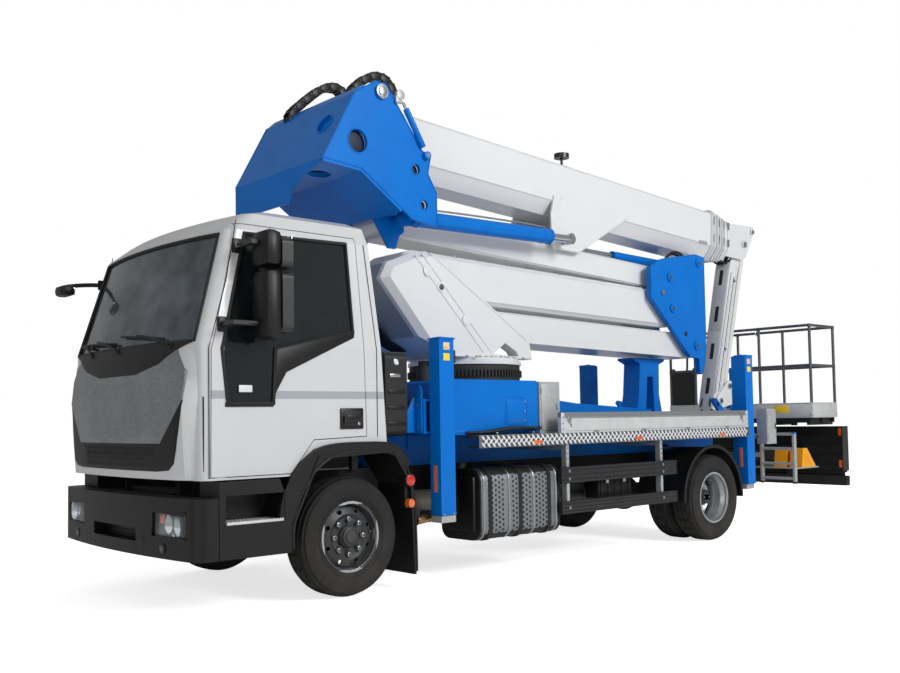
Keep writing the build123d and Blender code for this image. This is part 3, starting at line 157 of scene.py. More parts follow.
# ---- finishes
finishValues = {
    # sprayed two-layer cab paint: smooth, with a clear coat over it
    "cabPaint": {"colour": "#CBCCCE", "shade": "#C7C9CB", "rough": 0.34, "coat": 0.4, "dust": 0.1, "bumpMm": 6,
                 "bumpDeep": 0.03},
    # gloss enamel over welded plate: even and bright, with a slight orange peel
    "blueEnamel": {"colour": "#0070CB", "shade": "#006AC2", "rough": 0.34, "coat": 0.05, "shine": 0.15, "bumpMm": 9,
                   "bumpDeep": 0.06},
    "whiteEnamel": {"colour": "#DCDDDF", "shade": "#D9DBDD", "rough": 0.34, "coat": 0.3, "bumpMm": 10,
                    "bumpDeep": 0.06},
    # painted shade: the same enamel darkened as in deep shade, on liners behind the cut-outs
    "paintedShadeBlue": {"colour": "#02143A", "shade": "#02102E", "rough": 0.6, "bumpMm": 9, "bumpDeep": 0.05},
    # satin chassis paint under road dust
    "chassisBlack": {"colour": "#0F1011", "shade": "#151618", "rough": 0.55, "dust": 0.12, "shine": 0.3, "bumpMm": 5,
                     "bumpDeep": 0.12},
    # grained black polypropylene mouldings
    "blackMoulding": {"colour": "#0B0C0D", "shade": "#0E0F10", "rough": 0.42, "dust": 0.03, "shine": 0.35,
                      "bumpMm": 2.5, "bumpDeep": 0.1},
    # rough sand-cast iron under thin paint
    "castIron": {"colour": "#242526", "shade": "#34322F", "rough": 0.65, "metal": 0.2, "dust": 0.45, "bumpMm": 4,
                 "bumpDeep": 0.4, "grainMm": 60},
    # mill-finish aluminium: pale, slightly streaked
    "millAluminium": {"colour": "#D2D3D3", "shade": "#C6C8C9", "rough": 0.42, "metal": 0.35, "dust": 0.08,
                      "bumpMm": 12, "bumpDeep": 0.05, "grainMm": 120},
    # painted steel tube and flat, mid grey
    "greySteel": {"colour": "#5E6266", "shade": "#4C5054", "rough": 0.42, "metal": 0.5, "dust": 0.2, "bumpMm": 3,
                  "bumpDeep": 0.05, "grainMm": 40},
    # hard chrome on a piston rod: mirror-like
    "hardChrome": {"colour": "#D4D6D8", "shade": "#C8CACC", "rough": 0.12, "metal": 1.0, "bumpMm": 20,
                   "bumpDeep": 0.01},
    # hot-dip galvanised steel: a spangle of grey patches
    "galvanised": {"colour": "#B9BBBB", "shade": "#A5A8A9", "rough": 0.42, "metal": 0.35, "bumpMm": 8,
                   "bumpDeep": 0.04, "grainMm": 22},
    # the same zinc, dulled and soot-grey, on the perforated tank cover
    "tankZinc": {"colour": "#85888B", "shade": "#74777A", "rough": 0.48, "metal": 0.35, "bumpMm": 8,
                 "bumpDeep": 0.04, "grainMm": 22},
    # carbon-black tyre rubber with a grey bloom
    "tyreRubber": {"colour": "#131314", "shade": "#191919", "rough": 0.75, "dust": 0.18, "shine": 0.3, "bumpMm": 3,
                   "bumpDeep": 0.25, "grainMm": 80},
    # soft EPDM seals and hoses, smoother than a tyre
    "sealRubber": {"colour": "#101011", "shade": "#171718", "rough": 0.6, "bumpMm": 4, "bumpDeep": 0.08},
    # woven seat cloth: matt, with a fine weave
    "seatCloth": {"colour": "#2B2D31", "shade": "#36383D", "rough": 0.88, "bumpMm": 2.5, "bumpDeep": 0.5,
                  "grainMm": 8},
    # moulded vinyl of the dashboard
    "dashVinyl": {"colour": "#25272A", "shade": "#2E3033", "rough": 0.7, "bumpMm": 3, "bumpDeep": 0.2},
    # zinc-plated fasteners
    "zincPlate": {"colour": "#B7BABC", "shade": "#9A9DA0", "rough": 0.3, "metal": 0.95, "bumpMm": 5,
                  "bumpDeep": 0.03, "grainMm": 15},
    # machined and lacquered wheel rim
    "rimSilver": {"colour": "#C0C3C6", "shade": "#AFB2B5", "rough": 0.33, "metal": 0.8, "dust": 0.15, "bumpMm": 6,
                  "bumpDeep": 0.04, "grainMm": 90},
    "rimDark": {"colour": "#3B3D40", "shade": "#303235", "rough": 0.45, "metal": 0.5, "dust": 0.1, "bumpMm": 4,
                "bumpDeep": 0.05, "grainMm": 60},
    # stone-speckled coating of the nose panel: grey with light and dark grains, drawn 3 mm coarse to show
    "speckledCoat": {"colour": "#7E8184", "shade": "#6E7174", "rough": 0.4, "metal": 0.3, "coat": 0.3,
                     "speckles": [{"mm": 9, "share": 0.3, "colour": "#9B9EA0"},
                                  {"mm": 11, "share": 0.26, "colour": "#5A5D60"}], "bumpMm": 6, "bumpDeep": 0.08},
    # vacuum-metallised lamp reflector
    "lampReflector": {"colour": "#E4E7EA", "shade": "#CDD1D5", "rough": 0.08, "metal": 1.0},
    # clear polycarbonate cover
    "clearLens": {"colour": "#F2F6F8", "rough": 0.03, "clear": 0.96, "ior": 1.45},
    # painted light: the amber and red lenses glow faintly, also where they serve as reflectors, markers or a button
    "amberLens": {"colour": "#F0690A", "shade": "#DE5A06", "rough": 0.2, "coat": 0.7, "glow": 0.06, "bumpMm": 7,
                  "bumpDeep": 0.2},
    "redLens": {"colour": "#C41A10", "shade": "#A8140C", "rough": 0.2, "coat": 0.7, "glow": 0.04, "bumpMm": 7,
                "bumpDeep": 0.2},
    # polished brass-coloured exhaust tube, heat-tinted
    "exhaustBrass": {"colour": "#B08A5C", "shade": "#7C6448", "rough": 0.3, "metal": 0.9, "grainMm": 70,
                     "bumpMm": 9, "bumpDeep": 0.05},
    # yellow polyethylene chock
    "yellowMoulding": {"colour": "#F0A202", "shade": "#E39300", "rough": 0.45, "bumpMm": 5, "bumpDeep": 0.12},
    "labelYellow": {"colour": "#F2D22C", "shade": "#E8C81E", "rough": 0.4, "bumpMm": 30, "bumpDeep": 0.03},
    "labelOrange": {"colour": "#E9D9B0", "shade": "#DDA24E", "rough": 0.4, "grainMm": 25},
    "reflectorTape": {"colour": "#E07A5F", "shade": "#C9604A", "rough": 0.35, "coat": 0.4,
                      "speckles": [{"mm": 5, "share": 0.25, "colour": "#F0A890"}]},
    # tinted windscreen: dark, with a lighter mottle and light speckles of painted reflection and dust
    "windscreenGlass": {"colour": "#56626D", "shade": "#8F979E", "rough": 0.09, "clear": 0.82, "grainMm": 240,
                        "speckles": [{"mm": 8, "share": 0.2, "colour": "#A3A7A8"}]},
    "sideGlass": {"colour": "#5E666B", "shade": "#525A5F", "rough": 0.03, "clear": 0.92, "grainMm": 500},
    "mirrorGlass": {"colour": "#B8C4CC", "shade": "#AAB6BE", "rough": 0.03, "metal": 1.0},
    "stripeGrey": {"colour": "#9DA3A8", "shade": "#959BA0", "rough": 0.34, "coat": 0.6},
}
finishes = {name: makeFinish(name, values) for name, values in finishValues.items()}
black = "#141516"


def variant(base, name, regions, **changes):
    # a finish with other finishes on parts of the same node, told apart by their place
    finishes[name] = makeFinish(name, {**finishValues[base], "regions": regions, **changes})


doorZones = []
for _, side, out in sides:
    doorZones.append(((2.5, side * 1.03, 1.418), (4.4, side * 1.2, 1.472), "#9DA3A8", 0.34, 0))
    doorZones.append((out(0.088, 1.0495, 1.205), out(-0.11, 1.09, 1.35), black, 0.45, 0))
    doorZones.append((out(-0.66, 1.062, 1.8), out(-1.2, 1.4, 2.6), black, 0.45, 0))
variant("cabPaint", "doorPaint", doorZones)
variant("cabPaint", "shellPaint", [((2.6, side * 1.03, 1.418), out(-0.1, 1.2, 1.472), "#9DA3A8", 0.34, 0)
                                   for _, side, out in sides] +
        [((2.7, -1.0, 0.9), (4.2, 1.0, 1.36), "#2A2C2F", 0.7, 0)])
variant("whiteEnamel", "boomPaint", [((-0.5, -0.1, 3.815), (-0.25, 0.3, 4.1), black, 0.4, 0)])
# painted shade: the white turret's sloping front is drawn grey, as it looks in shade
variant("whiteEnamel", "turretPaintShadedFront", [(at(1.24, -0.3, 1.7), at(0.7, 0.3, 2.8), "#8D9398", 0.4, 0)])
variant("millAluminium", "deckAluminium", [((-2.2, -1.147, 1.02), (2.1, 1.147, 1.1275), "#2B2C2E", 0.6, 0),
                                           ((-2.2, -1.12, 1.1), (2.1, 1.12, 1.15), "#3A3632", 0.6, 0),
                                           ((-2.2, -2, 1.2635), (2.1, 2, 1.31), "#85888B", 0.42, 0.5)])
variant("galvanised", "ladderFinish", [(at(6.9, -2, 0.641), at(6.41, 2, 0.9), "#F0A202", 0.45, 0)])
variant("whiteEnamel", "jibGrey", [], colour="#BFC3C6", shade="#B6BABE")
# painted light: the black rear panel's side flanges are drawn lighter, as lit by the sky
variant("chassisBlack", "rearPanelLitEdges", [(out(7.5, 1.087, 0.5), out(7.3, 1.12, 1.2), "#2A2C2E", 0.45, 0.1)
                                            for _, _, out in sides])
variant("galvanised", "boxFinish", [(at(2.0, -1.2, 0.2), at(1.2, -0.5, 0.9), "#1B1C1E", 0.5, 0),
                                    (at(1.15, 0.4, 0.3), at(0.5, 0.94, 0.72), "#55504A", 0.6, 0.5),
                                    (at(1.15, 0.9, 0.3), at(0.6, 1.0, 0.62), "#B08A5C", 0.3, 0.9),
                                    (at(3.6, -1.0, 0.3), at(2.4, 1.0, 0.75), "#1E1F21", 0.5, 0),
                                    (at(0.6, 0.4, 0.85), at(0.34, 1.1, 1.9), "#121314", 0.42, 0)])
variant("greySteel", "basketSteel", [(at(7.5, -1.1, 1.2), at(6.7, 1.1, 1.3855), "#C0C3C5", 0.4, 0.3),
                                     (at(6.82, -1.0, 1.37), at(6.81, -0.6, 1.84), black, 0.5, 0)])
variant("greySteel", "guardSteel", [((-1.0, -2, 0.43), (1.0, 1.127, 1.1), "#A9ADB0", 0.42, 0.5)],
        colour="#2A2C2F", shade="#232528")
variant("rimSilver", "rimFront", [(at(0.23, -2, 0.2), at(-0.23, 2, 0.66), "#3B3D40", 0.45, 0.4)])
variant("lampReflector", "lampFinish", [((-5, -2, 0.5), (-4.3, 2, 0.8), black, 0.4, 0)],
        colour="#54585C", shade="#484C50")
variant("dashVinyl", "cabTrim", [(at(0.22, -1, 1.27), at(-0.25, 1, 2.4), "#2B2D31", 0.88, 0)])

nodeFinish = {
    "shellPaint": ["cab_shell"], "doorPaint": ["door_left", "door_right"],
    "windscreenGlass": ["windscreen"], "sideGlass": ["door_glass_left", "door_glass_right"],
    "blueEnamel": ["subframe", "front_beam_left", "front_beam_right", "rear_knuckle", "front_knuckle",
                   "upper_arm_barrel", "lift_barrels", "basket_carrier", "basket_bracket"],
    "whiteEnamel": ["lower_arm", "lower_link", "upper_arm", "boom_section_2", "boom_section_3", "boom_head", "jib",
                    "jib_link", "jib_yoke"],
    "turretPaintShadedFront": ["turret"], "boomPaint": ["boom_base"],
    "chassisBlack": ["chassis_frame", "fuel_tank"], "rearPanelLitEdges": ["rear_panel"],
    "blackMoulding": ["bumper", "mudguards", "nose_panels"],
    "castIron": ["engine_block", "front_axle", "rear_axle", "steering_knuckle_left", "steering_knuckle_right",
                 "slew_ring"],
    "deckAluminium": ["deck"], "ladderFinish": ["ladder_rack"], "boxFinish": ["side_boxes"],
    "guardSteel": ["side_guards"], "basketSteel": ["basket"],
    "galvanised": ["front_jack_left", "front_jack_right", "rear_jack_left", "rear_jack_right"],
    "hardChrome": ["upper_arm_rod", "lift_rods"],
    "tyreRubber": ["hose_loops", "front_tyre_left", "front_tyre_right", "rear_tyres_left", "rear_tyres_right"],
    "rimFront": ["front_wheel_left", "front_wheel_right"], "rimSilver": ["rear_wheel_left", "rear_wheel_right"],
    "cabTrim": ["cab_interior"], "lampFinish": ["lamps"],
}
for finishName, members in nodeFinish.items():
    for member in members:
        nodes[member].data.materials.clear()
        nodes[member].data.materials.append(finishes[finishName])
print("finishes ready:", len(finishes))

# ---- camera, light and floor
studio = {
    "cameraPlace": (7.3048, 6.7358, 1.2676),
    "cameraTurn": (92.8025, 0.8928, 138.4224),
    "lens": 39.254,
    "shift": (0.01526, 0.03786),
    "keyPlace": (-1.0, 13.0, 8.0), "keySize": 5.0, "keyPower": 1350,
    "fillPlace": (12.0, 5.0, 4.0), "fillSize": 7.0, "fillPower": 190,
    "backPlace": (-9.0, -9.0, 8.0), "backSize": 9.0, "backPower": 300,
    "worldStrength": 0.34,
    "floorColour": "#F6F6F6",
}


def deselectAll():
    if bpy.context.object and bpy.context.object.mode != "OBJECT":
        bpy.ops.object.mode_set(mode="OBJECT")
    bpy.ops.object.select_all(action="DESELECT")


def buildStudio(values):
    scene = bpy.context.scene
    camera = bpy.data.objects.new("studioCamera", bpy.data.cameras.new("studioCamera"))
    scene.collection.objects.link(camera)
    camera.location = values["cameraPlace"]
    camera.rotation_euler = [math.radians(a) for a in values["cameraTurn"]]
    camera.data.sensor_width = 36
    camera.data.lens = values["lens"]
    camera.data.shift_x, camera.data.shift_y = values["shift"]
    camera.data.clip_end = 200
    scene.camera = camera
    middle = Vector((0, 0, 1.8))
    for name in ("key", "fill", "back"):
        lamp = bpy.data.objects.new(name + "Light", bpy.data.lights.new(name + "Light", "AREA"))
        scene.collection.objects.link(lamp)
        lamp.location = values[name + "Place"]
        lamp.data.size = values[name + "Size"]
        lamp.data.energy = values[name + "Power"]
        lamp.rotation_euler = (middle - lamp.location).to_track_quat("-Z", "Y").to_euler()
    world = bpy.data.worlds.new("paleStudio")
    scene.world = world
    world.use_nodes = True
    tree = world.node_tree
    seen = addNode(tree, "ShaderNodeLightPath")
    straight = addNode(tree, "ShaderNodeMath", {"operation": "MAXIMUM"}, {0: (seen, "Is Camera Ray"),
                                                                         1: (seen, "Is Transmission Ray")})
    strength = addNode(tree, "ShaderNodeMapRange", {"To Min": values["worldStrength"], "To Max": 1.0},
                       {"Value": (straight, 0)})
    tree.links.new(strength.outputs[0], tree.nodes["Background"].inputs["Strength"])
    tree.nodes["Background"].inputs["Color"].default_value = (1, 1, 1, 1)
    deselectAll()
    bpy.ops.mesh.primitive_plane_add(size=90, location=(0, 0, -0.001))
    floor = bpy.context.object
    floor.name = "studioFloor"
    paint = bpy.data.materials.new("paleFloor")
    paint.use_nodes = True
    surface = paint.node_tree.nodes["Principled BSDF"]
    surface.inputs["Base Color"].default_value = toLinear(values["floorColour"])
    surface.inputs["Roughness"].default_value = 0.9
    surface.inputs["Specular IOR Level"].default_value = 0.1
    path = addNode(paint.node_tree, "ShaderNodeLightPath")
    glow = addNode(paint.node_tree, "ShaderNodeMath", {"operation": "MULTIPLY", 1: 0.72},
                   {0: (path, "Is Camera Ray")})
    paint.node_tree.links.new(glow.outputs[0], surface.inputs["Emission Strength"])
    surface.inputs["Emission Color"].default_value = (1, 1, 1, 1)
    floor.data.materials.append(paint)
    scene.view_settings.view_transform = "Standard"


buildStudio(studio)
print("studio ready")


# ---- modelling helpers: each part has its place in its mesh and waits on the bench to be joined
bench = []


def settle(finish, bevel=0.0, segments=2):
    # applies the primitive's place, rounds its sharp edges and gives it its finish
    piece = bpy.context.object
    bpy.ops.object.transform_apply(location=True, rotation=True, scale=True)
    if bevel:
        edge = piece.modifiers.new("edge", "BEVEL")
        edge.width = bevel
        edge.segments = segments
        edge.limit_method = "ANGLE"
        bpy.ops.object.modifier_apply(modifier="edge")
    piece.data.materials.clear()
    piece.data.materials.append(finishes[finish])
    bench.append(piece)
    return piece


def block(low, high, finish, bevel=0.004):
    deselectAll()
    middle = [(a + b) / 2 for a, b in zip(low, high)]
    size = [abs(b - a) for a, b in zip(low, high)]
    bpy.ops.mesh.primitive_cube_add(size=1, location=middle, scale=size)
    return settle(finish, min(bevel, min(size) * 0.45))


def rod(start, end, radius, finish, sides=20, bevel=0.0, tip=None):
    # a round bar, or a cone frustum where tip gives the end's own radius
    deselectAll()
    run = Vector(end) - Vector(start)
    turn = run.to_track_quat("Z", "Y").to_euler()
    middle = (Vector(start) + Vector(end)) / 2
    if tip is None:
        bpy.ops.mesh.primitive_cylinder_add(vertices=sides, radius=radius, depth=run.length, location=middle,
                                            rotation=turn)
    else:
        bpy.ops.mesh.primitive_cone_add(vertices=sides, radius1=radius, radius2=tip, depth=run.length,
                                        location=middle, rotation=turn)
    return settle(finish, bevel)


def hoop(centre, axis, radius, thickness, finish, sides=32):
    deselectAll()
    turn = Vector(axis).to_track_quat("Z", "Y").to_euler()
    bpy.ops.mesh.primitive_torus_add(major_radius=radius, minor_radius=thickness, major_segments=sides,
                                     minor_segments=8, location=centre, rotation=turn)
    return settle(finish)


def plate(points, shift, finish, bevel=0.003):
    # an outline of places pulled through a distance
    deselectAll()
    bpy.ops.mesh.primitive_circle_add(vertices=len(points), fill_type="NGON")
    outline = bpy.context.object
    for vertex, point in zip(outline.data.vertices, points):
        vertex.co = point
    bpy.ops.object.mode_set(mode="EDIT")
    bpy.ops.mesh.select_all(action="SELECT")
    bpy.ops.mesh.extrude_region_move(TRANSFORM_OT_translate={"value": shift})
    bpy.ops.mesh.select_all(action="SELECT")
    bpy.ops.mesh.normals_make_consistent(inside=False)
    bpy.ops.object.mode_set(mode="OBJECT")
    return settle(finish, bevel)


def pipe(points, radius, finish, smooth=True, sides=3):
    # a tube along a smooth line, or along straight runs
    deselectAll()
    curve = bpy.data.curves.new("run", "CURVE")
    curve.dimensions = "3D"
    curve.bevel_depth = radius
    curve.bevel_resolution = sides
    curve.use_fill_caps = True
    curve.resolution_u = 6
    spline = curve.splines.new("NURBS" if smooth else "POLY")
    spline.points.add(len(points) - 1)
    for knot, point in zip(spline.points, points):
        knot.co = (*point, 1)
    if smooth:
        spline.order_u = 3
        spline.use_endpoint_u = True
    line = bpy.data.objects.new("run", curve)
    bpy.context.scene.collection.objects.link(line)
    line.select_set(True)
    bpy.context.view_layer.objects.active = line
    bpy.ops.object.convert(target="MESH")
    return settle(finish)


def bolts(places, axis, radius, height, finish="zincPlate"):
    # hexagon heads on washers, standing on a face
    direction = Vector(axis).normalized()
    for place in places:
        foot = Vector(place)
        rod(foot, foot + direction * height * 0.3, radius * 1.45, finish, sides=14)
        rod(foot, foot + direction * height, radius, finish, sides=6)


def scatter(seed, places, finish):
    # copies of one part at each place and turn, as a single part
    copies = []
    for place, turn in places:
        copy = bpy.data.objects.new("copy", seed.data.copy())
        bpy.context.scene.collection.objects.link(copy)
        copy.location, copy.rotation_euler = place, turn
        copies.append(copy)
    bench.remove(seed)
    bpy.data.objects.remove(seed)
    deselectAll()
    for copy in copies:
        copy.select_set(True)
    bpy.context.view_layer.objects.active = copies[0]
    bpy.ops.object.join()
    settle(finish)


def joined(name, body, angle=35):
    # makes one piece of what is on the bench and sets it on its body
    deselectAll()
    for part in bench:
        part.select_set(True)
    bpy.context.view_layer.objects.active = bench[0]
    if len(bench) > 1:
        bpy.ops.object.join()
    bench.clear()
    piece = bpy.context.object
    piece.name = name
    piece.data.name = name
    bpy.ops.object.shade_smooth_by_angle(angle=math.radians(angle))
    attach(piece, body)
    return piece


# ---- the cab's nose
nose = {
    # height, how far the front stands ahead of the axle at its edge, half width, and its bow
    "rows": ((0.895, 1.268, 0.84, 0.052), (1.0, 1.272, 0.85, 0.052), (1.43, 1.262, 0.93, 0.055),
             (1.7, 1.225, 0.955, 0.07), (1.795, 1.196, 0.955, 0.085)),
    "cheekX": 1.06,
}


def noseAt(y, z):
    # x of the bulged nose at a width and height
    rows = nose["rows"]
    level = min(max(z, rows[0][0]), rows[-1][0])
    for low, high in zip(rows, rows[1:]):
        if level <= high[0]:
            share = (level - low[0]) / (high[0] - low[0])
            ahead, half, bow = [a + (b - a) * share for a, b in zip(low[1:], high[1:])]
            break
    width = abs(y)
    if width <= half:
        return axleX + ahead + bow * (1 - (width / half) ** 2)
    share = min(1, (width - half) / (1.052 - half))
    return axleX + ahead + (nose["cheekX"] - ahead) * share ** 1.7


def cabAt(y, z):
    # x of the windscreen's surface above the nose
    share = (z - 1.79) / 0.77
    return axleX + 1.195 - 0.23 * share + 0.0865 * (1 - (y / (0.955 - 0.065 * share)) ** 2)


def flankAt(z):
    # half width of the cab at a height
    return 1.05 if z < 1.79 else 1.05 - 0.065 * (z - 1.79) / 0.77


def nosePanel(name, outline, stand, thickness, finish, cuts=22):
    # a panel cut to an outline of (y, height), laid on the nose and given a thickness
    deselectAll()
    bpy.ops.mesh.primitive_circle_add(vertices=len(outline), fill_type="NGON")
    skin = bpy.context.object
    for vertex, (y, z) in zip(skin.data.vertices, outline):
        vertex.co = (5, y, z)
    bpy.ops.object.mode_set(mode="EDIT")
    for i in range(cuts):
        bpy.ops.mesh.select_all(action="SELECT")
        bpy.ops.mesh.bisect(plane_co=(5, -1.05 + 2.1 * (i + 0.5) / cuts, 0), plane_no=(0, 1, 0))
    for level in (0.95, 1.0, 1.1, 1.22, 1.34, 1.43, 1.52, 1.62, 1.7, 1.75):
        bpy.ops.mesh.select_all(action="SELECT")
        bpy.ops.mesh.bisect(plane_co=(5, 0, level), plane_no=(0, 0, 1))
    bpy.ops.object.mode_set(mode="OBJECT")
    for vertex in skin.data.vertices:
        vertex.co.x = noseAt(vertex.co.y, vertex.co.z) + stand
    bpy.ops.object.mode_set(mode="EDIT")
    bpy.ops.mesh.select_all(action="SELECT")
    bpy.ops.mesh.extrude_region_move(TRANSFORM_OT_translate={"value": (-thickness, 0, 0)})
    bpy.ops.mesh.select_all(action="SELECT")
    bpy.ops.mesh.normals_make_consistent(inside=False)
    bpy.ops.object.mode_set(mode="OBJECT")
    settle(finish, 0.002, 2)
    return joined(name, "truck", 30)


def bothSides(half):
    # closes a half outline of (y, height), listed from top to bottom, with its mirror image
    return [(y, z) for y, z in half] + [(-y, z) for y, z in reversed(half)]


skin = nosePanel("noseSkin", bothSides([(1.045, 1.795), (1.045, 0.9), (0.9, 0.893)]), 0.0, 0.05, "cabPaint")
nosePanel("speckledPanel", bothSides([(0.8, 1.752), (0.925, 1.6), (0.915, 1.415), (0.66, 1.13)]),
    0.006, 0.02, "speckledCoat")
nosePanel("windscreenCowl", bothSides([(0.952, 1.797), (0.8, 1.752), (0.6, 1.66), (0.3, 1.6)]), 0.01, 0.03,
    "blackMoulding")
nosePanel("grilleFrame", bothSides([(0.915, 1.412), (0.82, 1.0), (0.76, 0.955), (0.62, 0.945)]), 0.004,
    0.02, "blackMoulding")


def buildGrille():
    # honeycomb mesh of crossing bars in a moulded surround
    values = {"half": 0.585, "low": 0.972, "high": 1.112, "pitch": 0.045, "bar": 0.0035, "proud": 0.0035}
    lean = values["high"] - values["low"]
    count = int(2 * values["half"] / values["pitch"])
    for i in range(count):
        start = -values["half"] + i * values["pitch"]
        for way in (1, -1):
            foot = start if way > 0 else start + lean * 0.6
            points = []
            for step in range(3):
                y = foot + way * lean * 0.6 * step / 2
                z = values["low"] + lean * step / 2
                points.append((noseAt(y, z) + values["proud"], y, z))
            if max(abs(p[1]) for p in points) < values["half"]:
                pipe(points, values["bar"], "castIron", False, 1)
    for z in (values["low"], (values["low"] + values["high"]) / 2, values["high"]):
        line = [(noseAt(y / 10, z) + values["proud"], y / 10, z) for y in range(-6, 7)]
        pipe(line, values["bar"], "castIron", True, 2)
    joined("grilleMesh", "truck")


buildGrille()
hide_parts("nose_panels")
print("nose panels and grille built")


def buildScreenTrim():
    # rubber seal round the windscreen, and three wipers parked along its foot
    values = {"seal": 0.012}
    outline = [(-0.955 + 1.91 * i / 12, 1.8) for i in range(13)]
    outline += [(0.955 - 0.07 * i / 5, 1.8 + 0.73 * i / 5) for i in range(1, 5)]
    outline += [(0.885 - 1.77 * i / 12, 2.53) for i in range(13)]
    outline += [(-0.885 - 0.07 * i / 5, 2.53 - 0.73 * i / 5) for i in range(1, 6)]
    pipe([(cabAt(y, z) + 0.004, y, z) for y, z in outline], values["seal"], "sealRubber", False, 2)
    joined("windscreenSeal", "truck", 60)
    for foot, blade in ((0.72, (0.62, 0.0)), (0.0, (-0.06, -0.7)), (-0.5, (-0.52, -0.9))):
        z0, z1 = 1.815, 1.86
        tip = (blade[0] + blade[1]) / 2
        root = (cabAt(foot, z0) + 0.03, foot, z0 - 0.03)
        elbow = (cabAt((foot + tip) / 2, z1) + 0.045, (foot + tip) / 2, z1 - 0.01)
        hold = (cabAt(tip, z1) + 0.035, tip, z1 + 0.012)
        rod((root[0] - 0.03, root[1], root[2] - 0.02), root, 0.022, "blackMoulding", 16, 0.004)
        pipe([root, elbow, hold], 0.009, "blackMoulding")
        line = []
        for i in range(6):
            y = blade[0] + (blade[1] - blade[0]) * i / 5
            z = 1.832 + 0.055 * i / 5 if foot > 0 else 1.84 + 0.03 * i / 5
            line.append((cabAt(y, z) + 0.014, y, z))
        pipe(line, 0.008, "sealRubber")
        pipe([(x + 0.014, y, z + 0.004) for x, y, z in line[1:5]], 0.006, "blackMoulding")
    joined("wipers", "truck")


buildScreenTrim()


def buildHeadlamps():
    # clear unit over two reflector bowls, with an amber bulb housing beside them
    values = {"low": 0.515, "high": 0.695, "from": 0.575, "to": 0.965, "bowls": ((0.865, 0.074), (0.725, 0.06))}
    for name, side, _ in sides:
        low, high = values["low"], values["high"]
        middle = (low + high) / 2
        back = aft(-1.236)
        block((back - 0.004, side * values["from"], low), (back + 0.003, side * values["to"], high), "lampReflector",
            0.002)
        for y, radius in values["bowls"]:
            rod((back, side * y, middle), (back + 0.026, side * y, middle), radius * 0.5, "lampReflector", 32,
                tip=radius)
            hoop((back + 0.026, side * y, middle), (1, 0, 0), radius, 0.004, "greySteel")
            rod((back + 0.004, side * y, middle), (back + 0.022, side * y, middle), 0.016, "blackMoulding", 16, 0.004)
        rod((back, side * 0.625, middle + 0.02), (back + 0.02, side * 0.625, middle + 0.02), 0.028, "amberLens", 20,
            0.006)
        for z in (low + 0.006, high - 0.006):
            block((back, side * values["from"], z - 0.005), (back + 0.04, side * values["to"], z + 0.005),
                "blackMoulding", 0.003)
        for k in range(7):
            y = values["from"] + 0.03 + 0.055 * k
            block((back + 0.002, side * y, low + 0.012), (back + 0.01, side * (y + 0.004), high - 0.012), "greySteel",
                0.001)
        cover = []
        for z in (low, high):
            for k in range(5):
                y = values["from"] + (values["to"] - values["from"]) * k / 4
                cover.append((aft(-1.2825) - 0.03 * (k / 4) ** 2, side * y, z))
        ring = cover[:5] + cover[:4:-1]
        plate(ring, (0.005, 0, 0), "clearLens", 0.0015)
        joined("headlamp." + name, "truck")


buildHeadlamps()


def buildBumperDetail():
    values = {"coverZ": (0.42, 0.52), "coverY": (0.36, 0.47)}
    for _, side, out in sides:
        low, high = values["coverZ"]
        y0, y1 = values["coverY"]
        block(out(-1.28, y0, low), out(-1.318, y1, high), "blackMoulding", 0.01)
        rod(out(-1.27, 0.7, 0.445), out(-1.3, 0.7, 0.445), 0.036, "blackMoulding", 24, 0.004)
        rod(out(-1.297, 0.7, 0.445), out(-1.305, 0.7, 0.445), 0.027, "clearLens", 24, 0.003)
        block(out(-1.19, 0.7, 0.768), out(-1.245, 0.98, 0.778), "greySteel", 0.003)
    for z in (0.485, 0.512, 0.539):
        block(at(-1.2, -0.34, z), at(-1.232, 0.34, z + 0.007), "blackMoulding", 0.002)
    joined("bumperDetail", "truck")


buildBumperDetail()


# ---- doors, mirrors and side trim
doorTrim = {
    "windowLine": [(-0.845, 2.535), (0.0, 2.55), (0.017, 1.905), (-0.64, 1.76), (-0.661, 1.385), (-1.012, 1.385),
                   (-1.05, 1.745)],
    "quarterPanel": [(0.03, 1.915), (0.02, 1.86), (-0.56, 1.6), (-0.645, 1.46), (-0.665, 1.365), (-1.03, 1.365),
                     (-1.03, 1.395), (-0.672, 1.395), (-0.652, 1.768)],
    "mirrors": ((1.8, 2.262), (2.278, 2.525)),
}


